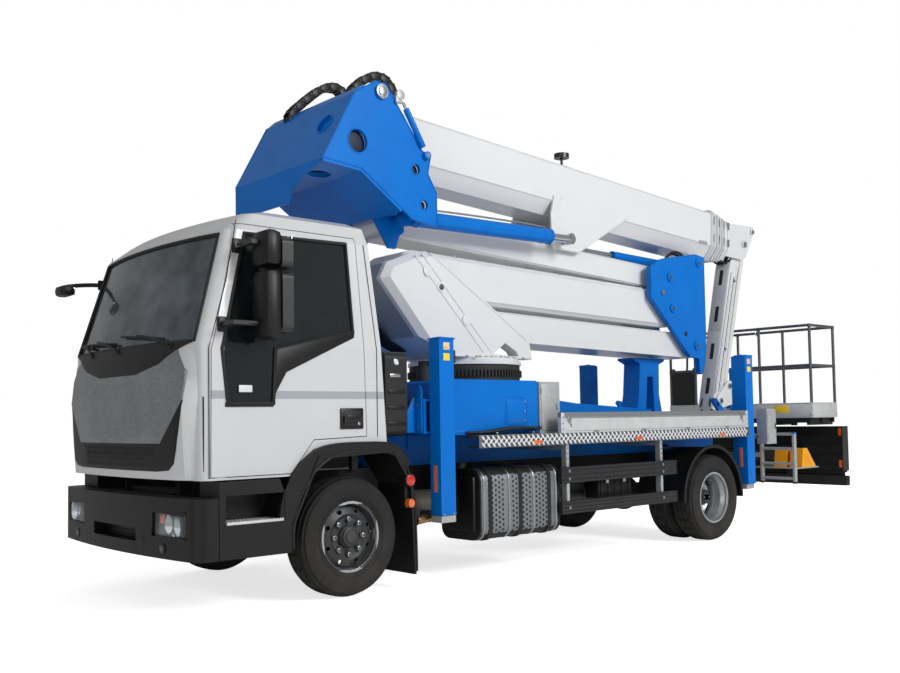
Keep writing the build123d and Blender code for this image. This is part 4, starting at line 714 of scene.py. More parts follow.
def buildDoorTrim(values):
    for name, side, out in sides:
        body = "door_" + name
        line = [out(d, flankAt(z) + 0.001, z) for d, z in values["windowLine"]]
        pipe(line + [line[0], line[1]], 0.013, "sealRubber", False, 2)
        panel = [out(d, flankAt(z) + 0.002, z) for d, z in values["quarterPanel"]]
        plate(panel, (0, side * 0.006, 0), "blackMoulding", 0.002)
        pipe([out(-0.64, 1.043, 1.765), out(-0.3, 1.04, 1.84), out(0.012, 1.037, 1.908)], 0.008, "sealRubber")
        block(out(-0.93, 1.0555, 1.462), out(-0.83, 1.0575, 1.508), "whiteEnamel", 0.001)
        joined("doorTrim." + name, body, 50)
        block(out(-0.112, 1.052, 1.203), out(0.09, 1.062, 1.352), "blackMoulding", 0.03)
        block(out(-0.085, 1.06, 1.225), out(0.062, 1.066, 1.33), "sealRubber", 0.008)
        block(out(-0.075, 1.066, 1.262), out(0.055, 1.084, 1.305), "blackMoulding", 0.008)
        rod(out(0.045, 1.06, 1.24), out(0.045, 1.07, 1.24), 0.012, "zincPlate", 16, 0.002)
        joined("doorHandle." + name, body)
        for low, high in values["mirrors"]:
            block(out(-0.735, 1.098, low), out(-0.87, 1.315, high), "blackMoulding", 0.05)
            block(out(-0.6625, 1.122, low + 0.078), out(-0.6675, 1.296, high - 0.034), "mirrorGlass", 0.001)
        rod(out(-0.758, 1.209, 1.79), out(-0.758, 1.209, 2.53), 0.016, "blackMoulding", 16, 0.003)
        for z in (1.905, 2.44):
            front = -1.046 if z < 2 else -0.91
            pipe([out(front, 1.03, z), out(front, 1.17, z), out(front + 0.05, 1.209, z), out(-0.76, 1.209, z)], 0.02,
                "blackMoulding")
            block(out(front - 0.035, flankAt(z) - 0.004, z - 0.05), out(front + 0.035, flankAt(z) + 0.022, z + 0.05),
                "blackMoulding", 0.01)
        joined("mirror." + name, body)


buildDoorTrim(doorTrim)


def archFlare(side):
    # broad moulding round the wheel arch, turned inwards at its edge, with the thin rim of the mud flap
    out = mirrored(side)
    outer = [(-0.64, 0.47), (-0.632, 0.7), (-0.56, 0.862), (-0.455, 0.985), (-0.34, 1.07), (-0.2, 1.098), (0.0, 1.103),
        (0.345, 1.098), (0.455, 1.02), (0.505, 0.93)]
    inner = [(-0.535, 0.47), (-0.512, 0.66), (-0.435, 0.815), (-0.345, 0.925), (-0.235, 1.0), (-0.13, 1.03),
        (0.0, 1.04), (0.32, 1.036), (0.415, 0.965), (0.47, 0.885)]
    for (a, b), (c, d) in zip(zip(outer, outer[1:]), zip(inner, inner[1:])):
        ring = [out(k, 1.048, z) for k, z in (a, b, d, c)]
        plate(ring, (0, side * 0.036, 0), "blackMoulding", 0.0)
    lip = [out(k, 1.08, z) for k, z in inner]
    pipe(lip, 0.011, "blackMoulding")
    pipe([out(k, 1.078, z) for k, z in outer], 0.009, "blackMoulding")
    pipe([out(k, 1.078, z) for k, z in ((0.47, 0.94), (0.535, 0.76), (0.56, 0.45), (0.56, 0.13))], 0.012,
        "blackMoulding")


def buildCabSide():
    # corner vents, roof edge seam, step treads and marker lamps
    values = {"ventZ": (0.95, 1.432), "treadZ": (0.6, 0.612)}
    for name, side, out in sides:
        low, high = values["ventZ"]
        pipe([out(-1.165, 1.018, low), out(-1.167, 1.018, (low + high) / 2), out(-1.167, 1.018, high)], 0.008,
            "sealRubber", True, 2)
        pipe([out(-1.143, 1.046, 0.905), out(-1.143, 1.046, 1.75), out(-1.0, 1.018, 2.2), out(-0.905, 0.985, 2.62)],
            0.0035, "sealRubber", False, 1)
        pipe([out(0.225, 1.052, 1.14), out(0.225, 1.052, 1.78), out(0.16, 0.988, 2.56)], 0.003, "sealRubber", False, 1)
        joined("cabSeams." + name, "truck", 60)
        low, high = values["treadZ"]
        block(out(-1.04, 0.875, low), out(-0.61, 1.084, high), "millAluminium")
        for i in range(14):
            x = -1.03 + 0.41 * i / 13
            for j in range(3):
                y = 0.905 + 0.07 * j
                rod(out(x, y, high - 0.001), out(x, y, high + 0.004), 0.009, "millAluminium", 6, tip=0.006)
        block(out(-1.04, 1.08, low - 0.012), out(-0.61, 1.087, high + 0.004), "millAluminium", 0.002)
        for i in range(20):
            x = -1.03 + 0.41 * i / 19
            block(out(x, 1.086, high), out(x + 0.01, 1.0875, high + 0.008), "millAluminium", 0.001)
        joined("stepTreads." + name, "truck")
        archFlare(side)
        joined("archFlare." + name, "truck", 50)
        rod(out(0.5, 1.02, 0.81), out(0.5, 1.1, 0.81), 0.042, "redLens", 24, 0.006)
        rod(out(0.5, 1.02, 0.81), out(0.5, 1.094, 0.81), 0.05, "blackMoulding", 24, 0.004)
        rod(out(0.5, 1.06, 0.64), out(0.5, 1.105, 0.64), 0.034, "amberLens", 24, 0.006)
        hoop(out(0.5, 1.102, 0.64), (0, 1, 0), 0.034, 0.004, "blackMoulding")
        bolts([out(0.5, 1.105, 0.64)], (0, side, 0), 0.006, 0.004)
        block(out(0.47, 0.99, 0.6), out(0.53, 1.06, 0.86), "blackMoulding", 0.006)
        joined("sideMarkers." + name, "truck")


buildCabSide()
print("cab trim built")

# ---- wheels and tyres
wheelTrim = {
    "tyreRadius": 0.43, "tyreHalf": 0.131, "rimRadius": 0.255, "steps": 72,
    "section": ((0.103, 0.255), (0.118, 0.268), (0.127, 0.3), (0.131, 0.35), (0.127, 0.378), (0.12, 0.398),
                (0.112, 0.409), (0.108, 0.421), (0.094, 0.427), (0.061, 0.4287), (0.055, 0.429), (0.055, 0.417),
                (0.047, 0.417), (0.047, 0.4293), (0.006, 0.4299), (0.004, 0.4299), (0.004, 0.418)),
}


def buildTyre(centre, values):
    # half the section is mirrored, spun round the axle, and its shoulder blocks are cut by sinking every
    # other field
    deselectAll()
    half = [(y, r) for y, r in values["section"]]
    ring = half + [(-y, r) for y, r in reversed(half)]
    bpy.ops.mesh.primitive_circle_add(vertices=len(ring), fill_type="NOTHING")
    tyre = bpy.context.object
    for vertex, (y, r) in zip(tyre.data.vertices, ring):
        vertex.co = (centre[0], centre[1] + y, centre[2] + r)
    bpy.ops.object.mode_set(mode="EDIT")
    bpy.ops.mesh.select_all(action="SELECT")
    bpy.ops.mesh.spin(steps=values["steps"], angle=2 * math.pi, center=centre, axis=(0, 1, 0))
    bpy.ops.mesh.select_all(action="SELECT")
    bpy.ops.mesh.remove_doubles(threshold=0.0002)
    bpy.ops.mesh.normals_make_consistent(inside=False)
    bpy.ops.mesh.select_all(action="DESELECT")
    bpy.ops.object.mode_set(mode="OBJECT")
    step = 2 * math.pi / values["steps"]
    for face in tyre.data.polygons:
        place = face.center - Vector(centre)
        radius = math.hypot(place.x, place.z)
        number = round(math.atan2(place.z, place.x) / step - 0.5)
        shoulder = abs(place.y) > 0.061 and radius > 0.402
        rib = 0.012 < abs(place.y) < 0.045 and radius > 0.424
        face.select = (shoulder and number % 2 == 0) or (rib and number % 3 == 0)
    bpy.ops.object.mode_set(mode="EDIT")
    bpy.ops.mesh.inset(thickness=0.003, depth=0)
    bpy.ops.mesh.extrude_region_shrink_fatten(TRANSFORM_OT_shrink_fatten={"value": -0.009})
    bpy.ops.object.mode_set(mode="OBJECT")
    settle("tyreRubber")
    for side in (1, -1):
        for radius, thick in ((0.285, 0.0035), (0.372, 0.003)):
            hoop((centre[0], centre[1] + side * 0.1235, centre[2]), (0, 1, 0), radius, thick, "tyreRubber", 64)


def onWheel(axle, radius, degrees, y):
    # a place on a circle round an axle, given by its distance behind the front one
    a = math.radians(degrees)
    return (aft(axle) + radius * math.cos(a), y, 0.43 + radius * math.sin(a))


def buildWheels(values):
    for name, side, out in sides:
        centre = out(0, 0.905, 0.43)
        buildTyre(centre, values)
        tyre = joined("frontTyre." + name, "front_wheel_" + name, 40)
        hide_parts("front_tyre_" + name)
        for y in (1.035, 0.743):
            buildTyre(out(4.455, y, 0.43), values)
        tyre = joined("rearTyres." + name, "rear_wheel_" + name, 40)
        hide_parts("rear_tyres_" + name)
        # front: polished lip, nut caps, hub cover
        face = side * (0.905 + 0.062)
        hoop(out(0, 0.905 + 0.1, 0.43), (0, 1, 0), 0.243, 0.009, "rimSilver", 48)
        hoop(out(0, 0.905 + 0.05, 0.43), (0, 1, 0), 0.165, 0.006, "rimDark", 40)
        rod(at(0, face, 0.43), at(0, face + side * 0.052, 0.43), 0.072, "rimDark", 32, 0.008)
        rod(at(0, face + side * 0.05, 0.43), at(0, face + side * 0.06, 0.43), 0.045, "castIron", 24, 0.005)
        for i in range(8):
            rod(onWheel(0, 0.128, 45 * i, face), onWheel(0, 0.128, 45 * i, face + side * 0.03), 0.0175, "zincPlate",
                12, 0.004)
            rod(onWheel(0, 0.128, 45 * i, face + side * 0.03), onWheel(0, 0.128, 45 * i, face + side * 0.037), 0.008,
                "castIron", 8, 0.001)
            hoop(onWheel(0, 0.19, 45 * i + 22.5, face + side * 0.01), (0, 1, 0), 0.019, 0.003, "rimDark", 16)
        pipe([at(0.2, face - side * 0.01, 0.45), at(0.2, face + side * 0.02, 0.455),
            at(0.185, face + side * 0.038, 0.452)], 0.005, "zincPlate")
        joined("frontWheelTrim." + name, "front_wheel_" + name)
        # rear: deep dish with hub drum, nuts and bright lip
        face = side * (1.035 - 0.092)
        hoop(out(4.455, 1.135, 0.43), (0, 1, 0), 0.243, 0.009, "rimSilver", 48)
        rod(at(4.455, face, 0.43), at(4.455, face + side * 0.1, 0.43), 0.078, "rimDark", 32, 0.012)
        rod(at(4.455, face + side * 0.098, 0.43), at(4.455, face + side * 0.112, 0.43), 0.055, "castIron", 28, 0.006)
        for i in range(8):
            rod(onWheel(4.455, 0.11, 45 * i, face), onWheel(4.455, 0.11, 45 * i, face + side * 0.034), 0.0175,
                "zincPlate", 12, 0.004)
            hoop(onWheel(4.455, 0.19, 45 * i + 22.5, face + side * 0.01), (0, 1, 0), 0.019, 0.003, "rimSilver", 16)
        bolts([onWheel(4.455, 0.04, 60 * i, face + side * 0.112) for i in range(6)], (0, side, 0), 0.006, 0.006)
        joined("rearWheelTrim." + name, "rear_wheel_" + name)


buildWheels(wheelTrim)
print("wheels built")


# ---- tank, deck edge and guards
def buildTankCover():
    # perforated sheet over the tank's outer face, rounded at top and bottom, under three bright straps
    values = {"from": 1.225, "to": 2.125, "face": 1.104, "low": 0.33, "high": 0.842, "hole": 0.0115, "pitchX": 0.04,
        "pitchZ": 0.04}
    y, corner = values["face"], 0.095
    low, high = values["low"] - 0.035, values["high"] + 0.01
    arc = []
    for i in range(7):
        a = math.radians(15 * i)
        arc.append((y - corner + corner * math.cos(a), high - corner + corner * math.sin(a)))
    line = [(v, w) for v, w in reversed(arc)] + [(v, high + low - w) for v, w in arc]
    ring = line + [(v - 0.01 if abs(w - (high + low) / 2) < 0.2 else v - 0.006,
        w - 0.008 * (1 if w > (high + low) / 2 else -1)) for v, w in reversed(line)]
    plate([at(values["from"], v, w) for v, w in ring], (-(values["to"] - values["from"]), 0, 0), "tankZinc", 0.0015)
    # rows of holes, drawn as dark dimples in the sheet
    count = int((values["to"] - values["from"] - 0.06) / values["pitchX"])
    straps = (1.245, 1.535, 1.825, 2.105)
    columns = int((high - low - 0.06) / values["pitchZ"])
    seed = rod((0, 0, 0), (0, 0.002, 0), values["hole"], "sealRubber", 8)
    holes = []
    for i in range(count):
        for j in range(columns):
            d = values["from"] + 0.04 + i * values["pitchX"]
            z = low + 0.05 + (j + 0.5 * (i % 2)) * values["pitchZ"]
            if min(abs(d - s) for s in straps) < 0.03:
                continue
            # follow the rounded corners
            bend = max(0.0, abs(z - (high + low) / 2) - ((high - low) / 2 - corner))
            if bend > corner * 0.93:
                continue
            out = y - corner + math.sqrt(corner * corner - bend * bend)
            tilt = math.asin(bend / corner) * (1 if z > (high + low) / 2 else -1)
            holes.append((at(d, out - 0.0005, z), (tilt, 0, 0)))
    scatter(seed, holes, "sealRubber")
    for d in straps:
        strap = [at(d, v + 0.003, w) for v, w in line]
        pipe(strap, 0.01, "zincPlate", True, 2)
    joined("tankCover", "truck", 50)
    rod(at(1.225, 0.86, 0.855), at(1.225, 0.86, 0.89), 0.05, "blackMoulding", 24, 0.008)
    rod(at(1.225, 0.86, 0.885), at(1.225, 0.86, 0.905), 0.058, "blackMoulding", 12, 0.006)
    block(at(1.165, 0.7, 0.36), at(1.205, 1.07, 0.8), "blackMoulding", 0.04)
    block(at(2.165, 0.7, 0.36), at(2.19, 1.06, 0.78), "blackMoulding", 0.03)
    joined("tankEnds", "truck")


buildTankCover()


def buildDeckEdge():
    # chequer plate strip with raised lozenges, orange markers, board hinges and latches
    values = {"pitch": 0.058, "lozenge": (0.026, 0.0095), "rows": (1.053, 1.08, 1.107), "markers": (1.83, 3.2, 4.6)}
    for name, side, out in sides:
        y = side * 1.17
        block(at(1.168, y - side * 0.004, 1.031), at(5.109, y + side * 0.001, 1.127), "greySteel", 0.001)
        long, short = values["lozenge"]
        seed = plate([(long, 0, 0.003), (0, 0, short + 0.002), (-long, 0, 0.003), (-long, 0, -0.003),
            (0, 0, -short - 0.002), (long, 0, -0.003)], (0, side * 0.0035, 0), "whiteEnamel", 0.001)
        copies = []
        count = int(3.92 / values["pitch"])
        for i in range(count):
            for j, z in enumerate(values["rows"]):
                d = 1.19 + (i + 0.5 * (j % 2)) * values["pitch"]
                copies.append((at(d, y + side * 0.0005, z), (0, math.radians(45 if j % 2 else -45), 0)))
        scatter(seed, copies, "whiteEnamel")
        joined("chequerStrip." + name, "truck", 20)
        for d in values["markers"]:
            block(at(d - 0.055, y, 1.045), at(d + 0.055, y + side * 0.004, 1.075), "amberLens", 0.002)
            block(at(d - 0.062, y, 1.04), at(d + 0.062, y + side * 0.002, 1.08), "blackMoulding", 0.002)
        joined("deckMarkers." + name, "truck")
        for d in (2.128, 5.052):
            block(out(d, 1.156, 1.13), out(d + 0.042, 1.168, 1.3), "millAluminium")
            bolts([out(d + 0.021, 1.168, 1.13 + 0.03 + 0.05 * k) for k in range(3)], (0, side, 0), 0.006, 0.003)
        for d in (2.6, 3.3, 4.0, 4.7):
            rod(out(d - 0.03, 1.161, 1.134), out(d + 0.03, 1.161, 1.134), 0.007, "zincPlate", 12, 0.001)
        block(out(2.17, 1.157, 1.142), out(5.05, 1.16, 1.146), "zincPlate", 0.001)
        block(out(2.17, 1.157, 1.252), out(5.05, 1.162, 1.258), "zincPlate", 0.001)
        for d in (2.24, 4.98):
            block(out(d - 0.02, 1.16, 1.215), out(d + 0.02, 1.1685, 1.262), "zincPlate")
            pipe([out(d, 1.163, 1.22), out(d + 0.02, 1.166, 1.2), out(d + 0.03, 1.163, 1.18)], 0.004, "zincPlate")
        joined("dropSideTrim." + name, "truck")
        # ribs of the guard rails, their end caps and the drilled posts
        for low, high in ((0.7, 0.833), (0.436, 0.54)):
            for share in (0.2, 0.5, 0.8):
                z = low + (high - low) * share
                block(out(2.13, 1.1625, z - 0.005), out(3.785, 1.1672, z + 0.005), "blackMoulding", 0.002)
            for d in (2.122, 3.788):
                block(out(d - 0.006, 1.122, low - 0.004), out(d + 0.006, 1.1675, high + 0.004), "blackMoulding")
        joined("guardRibs." + name, "truck")
        for d in (2.205, 3.555):
            block(out(d, 1.126, 0.835), out(d + 0.034, 1.15, 1.028), "galvanised", 0.003)
            block(out(d, 1.126, 0.542), out(d + 0.034, 1.15, 0.698), "galvanised", 0.003)
            for k in range(4):
                rod(out(d + 0.017, 1.149, 0.86 + 0.045 * k), out(d + 0.017, 1.1515, 0.86 + 0.045 * k), 0.007,
                    "sealRubber", 10, 0.001)
            bolts([out(d + 0.017, 1.1664, z) for z in (0.733, 0.8, 0.488)], (0, side, 0), 0.009, 0.003)
        joined("guardPosts." + name, "truck")


buildDeckEdge()
print("tank and deck edge built")

# ---- legs and base
def buildLegs():
    # guide shoes, wedge brackets, reflective strips, blank plates, cable guard and cap of each leg
    values = {"front": (0.835, 1.085, 0.075, 0.06), "rear": (5.19, 1.056, 0.072, 0.08)}
    for label, (back, middle, halfX, halfY) in values.items():
        for name, side, out in sides:
            body = "front_beam_" + name if label == "front" else "truck"
            face = side * (middle + halfY)
            for z in (1.895, 0.545):
                thick = 0.006
                block(out(back - halfX - 0.004, middle - halfY + 0.03, z - 0.018),
                    at(back + halfX + 0.004, face + side * thick, z), "blueEnamel", 0.005)
            bolts([at(back + dx, face + side * 0.006, 0.536) for dx in (-0.05, 0.05)], (0, side, 0), 0.006, 0.004)
            rod(out(back, middle, 1.886), out(back, middle, 1.903), 0.03, "zincPlate", 20, 0.004)
            block(at(back - 0.035, face, 0.62), at(back + 0.035, face + side * 0.003, 0.66), "blueEnamel", 0.002)
            # hydraulic valve block and its pipe on the leg's rear face
            x = aft(back + halfX)
            block((x, side * (middle - 0.03), 1.7), (x - 0.05, side * (middle + 0.03), 1.8), "castIron", 0.006)
            pipe([(x - 0.025, side * middle, 1.7), (x - 0.03, side * middle, 1.6), (x - 0.018, side * middle, 1.5),
                (x - 0.016, side * (middle - 0.02), 1.445)], 0.009, "sealRubber")
            joined("legDetail." + label + "." + name, body)
            for z, finish in ((1.825, "labelOrange"), (1.742, "labelYellow")):
                block(at(back - 0.022 - 0.01, face, z - 0.028), at(back + 0.022 + 0.01, face + side * 0.002,
                    z + 0.028), finish, 0.0008)
            for dx in (-1, 1):
                x = aft(back) + dx * halfX
                block((x, side * (middle - 0.022), 0.705), (x + dx * 0.003, side * (middle + 0.022), 0.91),
                    "reflectorTape", 0.001)
            joined("legPlates." + label + "." + name, body)
    for name, side, out in sides:
        # fixed guide of the front beams: collar plates and wedge brackets on the housing's end
        for dx in (-1, 1):
            x = aft(0.835) + dx * 0.128
            plate([(x, side * 0.86, 1.18), (x, side * 0.998, 1.165), (x, side * 1.004, 1.5), (x, side * 0.97, 1.53),
                (x, side * 0.86, 1.44)], (dx * 0.012, 0, 0), "blueEnamel")
            block((x - 0.006, side * 0.93, 1.21), (x + 0.006, side * 0.998, 1.47), "blueEnamel")
            foot = aft(0.835) + dx * 0.3
            plate([(x, side * 0.93, 1.45), (x, side * 0.93, 1.16), (foot, side * 0.93, 1.16),
                (foot, side * 0.93, 1.19), (x + dx * 0.03, side * 0.93, 1.43)], (0, side * -0.014, 0), "blueEnamel")
        for z in (1.2, 1.375):
            bolts([(aft(0.835) + dx * 0.1285 + dx * 0.012, side * 0.955, z) for dx in (-1, 1)], (1, 0, 0), 0.009,
                0.006)
        for z in (1.15, 1.402):
            block(out(0.709, 0.985, z), out(0.961, 1.012, z + 0.018), "blueEnamel")
        joined("beamGuide." + name, "truck")
        # hatch outline, ribs and lifting tabs on the base box
        y = side * 1.0
        pipe([at(1.62, y, 1.21), at(1.62, y, 1.4), at(1.66, y, 1.44), at(1.84, y, 1.44), at(1.88, y, 1.4),
            at(1.88, y, 1.21)], 0.006, "blueEnamel", True, 2)
        block(at(1.64, y - side * 0.002, 1.2), at(1.86, y + side * 0.004, 1.425), "blueEnamel", 0.003)
        block(at(1.036, y - side * 0.01, 1.15), at(2.015, y + side * 0.006, 1.165), "blueEnamel", 0.003)
        bolts([at(1.855, y + side * 0.004, z) for z in (1.24, 1.32, 1.4)], (0, side, 0), 0.007, 0.005)
        joined("baseHatch." + name, "truck")
        # hoses lying along the deck beside the base
        for shift in (0.0, 0.03, 0.058):
            pipe([out(1.14, 0.985 - shift, 1.152), out(1.25, 1.075 - shift, 1.148), out(1.42, 1.085 - shift, 1.16),
                out(1.62, 1.09 - shift, 1.185), out(1.85, 1.088 - shift, 1.18), out(2.0, 1.06 - shift, 1.17),
                out(2.024, 1.0 - shift, 1.185)], 0.012, "sealRubber")
        for d in (1.42, 1.85):
            block(out(d - 0.01, 1.01, 1.13), out(d + 0.01, 1.105, 1.15), "zincPlate")
        joined("baseHoses." + name, "truck")
        # locker doors on the deck
        block(out(2.05, 1.01, 1.15), out(2.268, 1.016, 1.552), "galvanised")
        block(out(2.236, 1.014, 1.33), out(2.25, 1.026, 1.39), "zincPlate")
        for z in (1.2, 1.5):
            rod(out(2.048, 1.016, z - 0.03), out(2.048, 1.016, z + 0.03), 0.007, "zincPlate", 12, 0.001)
        joined("lockerDoor." + name, "truck")
        # ribbed tool cases and air-tank straps under the deck
        if side > 0:
            block(at(2.78, 0.86, 0.515), at(3.28, 1.02, 0.7), "blackMoulding", 0.02)
            for k in range(5):
                block(at(2.81 + 0.1 * k, 1.016, 0.53), at(2.84 + 0.1 * k, 1.026, 0.685), "blackMoulding")
            for d in (2.9, 3.15):
                block(at(d - 0.02, 1.018, 0.655), at(d + 0.02, 1.034, 0.71), "zincPlate")
        for d in (2.5, 2.8, 3.1, 3.4):
            hoop(out(d, 0.72, 0.56), (1, 0, 0), 0.127, 0.008, "greySteel", 36)
        joined("underDeck." + name, "truck")
        # control valve box doors behind the rear legs
        block(out(5.59, 1.105, 0.955), out(5.755, 1.11, 1.297), "galvanised")
        block(out(5.735, 1.109, 1.1), out(5.748, 1.116, 1.16), "blackMoulding", 0.003)
        for z in (1.0, 1.25):
            rod(out(5.59, 1.108, z - 0.025), out(5.59, 1.108, z + 0.025), 0.006, "zincPlate", 12, 0.001)
        joined("valveBoxDoor." + name, "truck")


buildLegs()


def buildBehindCab():
    # ribs, clips and pressure gauge of the air filter housing; coiled air lines; exhaust lip; battery box lid
    hoop(at(0.45, 1.001, 1.7), (0, 1, 0), 0.022, 0.004, "zincPlate", 20)
    rod(at(0.45, 0.998, 1.7), at(0.45, 1.004, 1.7), 0.018, "whiteEnamel", 20, 0.001)
    block(at(0.39, 0.999, 1.585), at(0.49, 1.004, 1.61), "zincPlate", 0.002)
    for z in (1.22, 1.34, 1.46):
        block(at(0.37, 0.996, z), at(0.535, 1.006, z + 0.03), "blackMoulding")
    for z in (1.25, 1.62):
        block(at(0.552, 0.7, z), at(0.568, 0.92, z + 0.05), "zincPlate")
    joined("filterDetail", "truck")
    for y in (-0.3, -0.22, -0.14, 0.14, 0.22):
        pipe([at(0.26, y, 1.02), at(0.36, y, 0.99), at(0.46, y + 0.03, 0.96), at(0.58, y, 0.93), at(0.64, y, 0.9)],
            0.013, "sealRubber")
    joined("airLines", "truck")
    hoop(at(0.662, 0.96, 0.4875), (1, 0, 0.1), 0.034, 0.005, "exhaustBrass", 28)
    rod(at(0.668, 0.96, 0.489), at(0.661, 0.96, 0.488), 0.028, "sealRubber", 24)
    hoop(at(0.8, 0.96, 0.505), (1, 0, 0.13), 0.036, 0.005, "zincPlate", 24)
    joined("exhaustLip", "truck")
    block(at(1.2, -1.104, 0.8), at(1.91, -0.63, 0.848), "blackMoulding", 0.014)
    for d in (1.45, 1.66):
        block(at(d, -1.112, 0.74), at(d + 0.04, -1.098, 0.83), "zincPlate")
    for k in range(4):
        block(at(1.24, -1.106, 0.4 + 0.08 * k), at(1.87, -1.098, 0.425 + 0.08 * k), "blackMoulding", 0.005)
    joined("batteryLid", "truck")
    # edges of the rear mudguards: a thin lip in lighter grey steel, a painted highlight along each arch's edge
    for name, side, _ in sides:
        arc = []
        for k in range(15):
            a = math.radians(-2 + 184 * k / 14)
            arc.append((aft(4.455) + 0.516 * math.cos(a), side * 1.14, 0.43 + 0.516 * math.sin(a)))
        pipe(arc, 0.009, "greySteel", True, 2)
        joined("rearGuardLipHighlight." + name, "truck")


buildBehindCab()
print("legs and base built")


# ---- turret and arms
def pinPlate(centre, side, radius, finish="whiteEnamel"):
    # a pin's end: flange, cap and keeper with two bolts
    x, y, z = centre
    rod((x, y, z), (x, y + side * 0.01, z), radius * 1.5, finish, 32, 0.003)
    rod((x, y + side * 0.009, z), (x, y + side * 0.022, z), radius, "zincPlate", 28, 0.004)
    block((x - radius * 0.9, y + side * 0.01, z - radius * 1.25),
        (x + radius * 0.9, y + side * 0.016, z - radius * 0.75), "zincPlate", 0.003)
    bolts([(x + dx * radius * 0.6, y + side * 0.016, z - radius) for dx in (-1, 1)], (0, side, 0), radius * 0.16,
        0.006)


def buildTurretDetail():
    values = {"armFoot": (1.3, 2.54), "linkFoot": (1.75, 2.138), "cover": (1.453, 2.413)}
    for _, side, out in sides:
        for d, z in (values["armFoot"], values["linkFoot"]):
            rod(out(d, 0.404, z), out(d, 0.4205, z), 0.05, "whiteEnamel", 32, 0.006)
        d, z = values["cover"]
        rod(out(d, 0.404, z), out(d, 0.416, z), 0.044, "whiteEnamel", 28, 0.004)
        rod(out(d, 0.414, z), out(d, 0.419, z), 0.028, "greySteel", 20, 0.002)
        # folded ridge that runs down the plate
        for (d0, z0), (d1, z1) in (((1.165, 2.665), (1.96, 1.86)), ((1.245, 2.685), (2.06, 1.86))):
            pipe([out(d0, 0.403, z0), out(d1, 0.403, z1)], 0.011, "whiteEnamel", False, 2)
        # stiffener along the plate's upper edge, and the foot flange's bolts
        pipe([out(1.33, 0.405, 2.7), out(1.9, 0.405, 2.362), out(2.53, 0.405, 1.99)], 0.007, "whiteEnamel", False, 2)
        block(out(1.6, 0.403, 1.812), out(2.58, 0.414, 1.835), "whiteEnamel")
        bolts([out(1.7 + 0.12 * k, 0.46, 1.811) for k in range(7)], (0, 0, 1), 0.012, 0.012)
    joined("turretDetail", "turret")
    for k in range(28):
        a = 2 * math.pi * k / 28
        x, y = aft(2.1) + 0.485 * math.cos(a), 0.485 * math.sin(a)
        if abs(y) > 0.42 or x > aft(1.62):
            bolts([(x, y, 1.811)], (0, 0, 1), 0.012, 0.014)
    joined("ringBolts", "turret")
    # vents and hoses on the sloping front; the two vent slots are black plates, painted shade inside the openings
    slope = Vector((aft(0.862) - aft(1.268), 0, 2.458 - 2.003)).normalized()
    for y in (0.1, 0.19):
        foot = Vector((aft(0.99) + 0.012, y, 2.3))
        plate([foot, foot + Vector((0, 0.055, 0)), foot + Vector((0, 0.055, 0)) - slope * 0.16, foot - slope * 0.16],
            (0.006, 0, 0.004), "sealRubber", 0.001)
    for y in (-0.2, -0.15, -0.1, -0.05):
        pipe([at(0.95, y, 2.6), at(0.84, y, 2.56), at(0.8, y, 2.44), at(0.93, y * 1.2, 2.26), at(1.14, y, 2.04),
            at(1.27, y, 1.93), at(1.42, y, 1.88)], 0.015, "sealRubber")
    joined("turretFront", "turret")


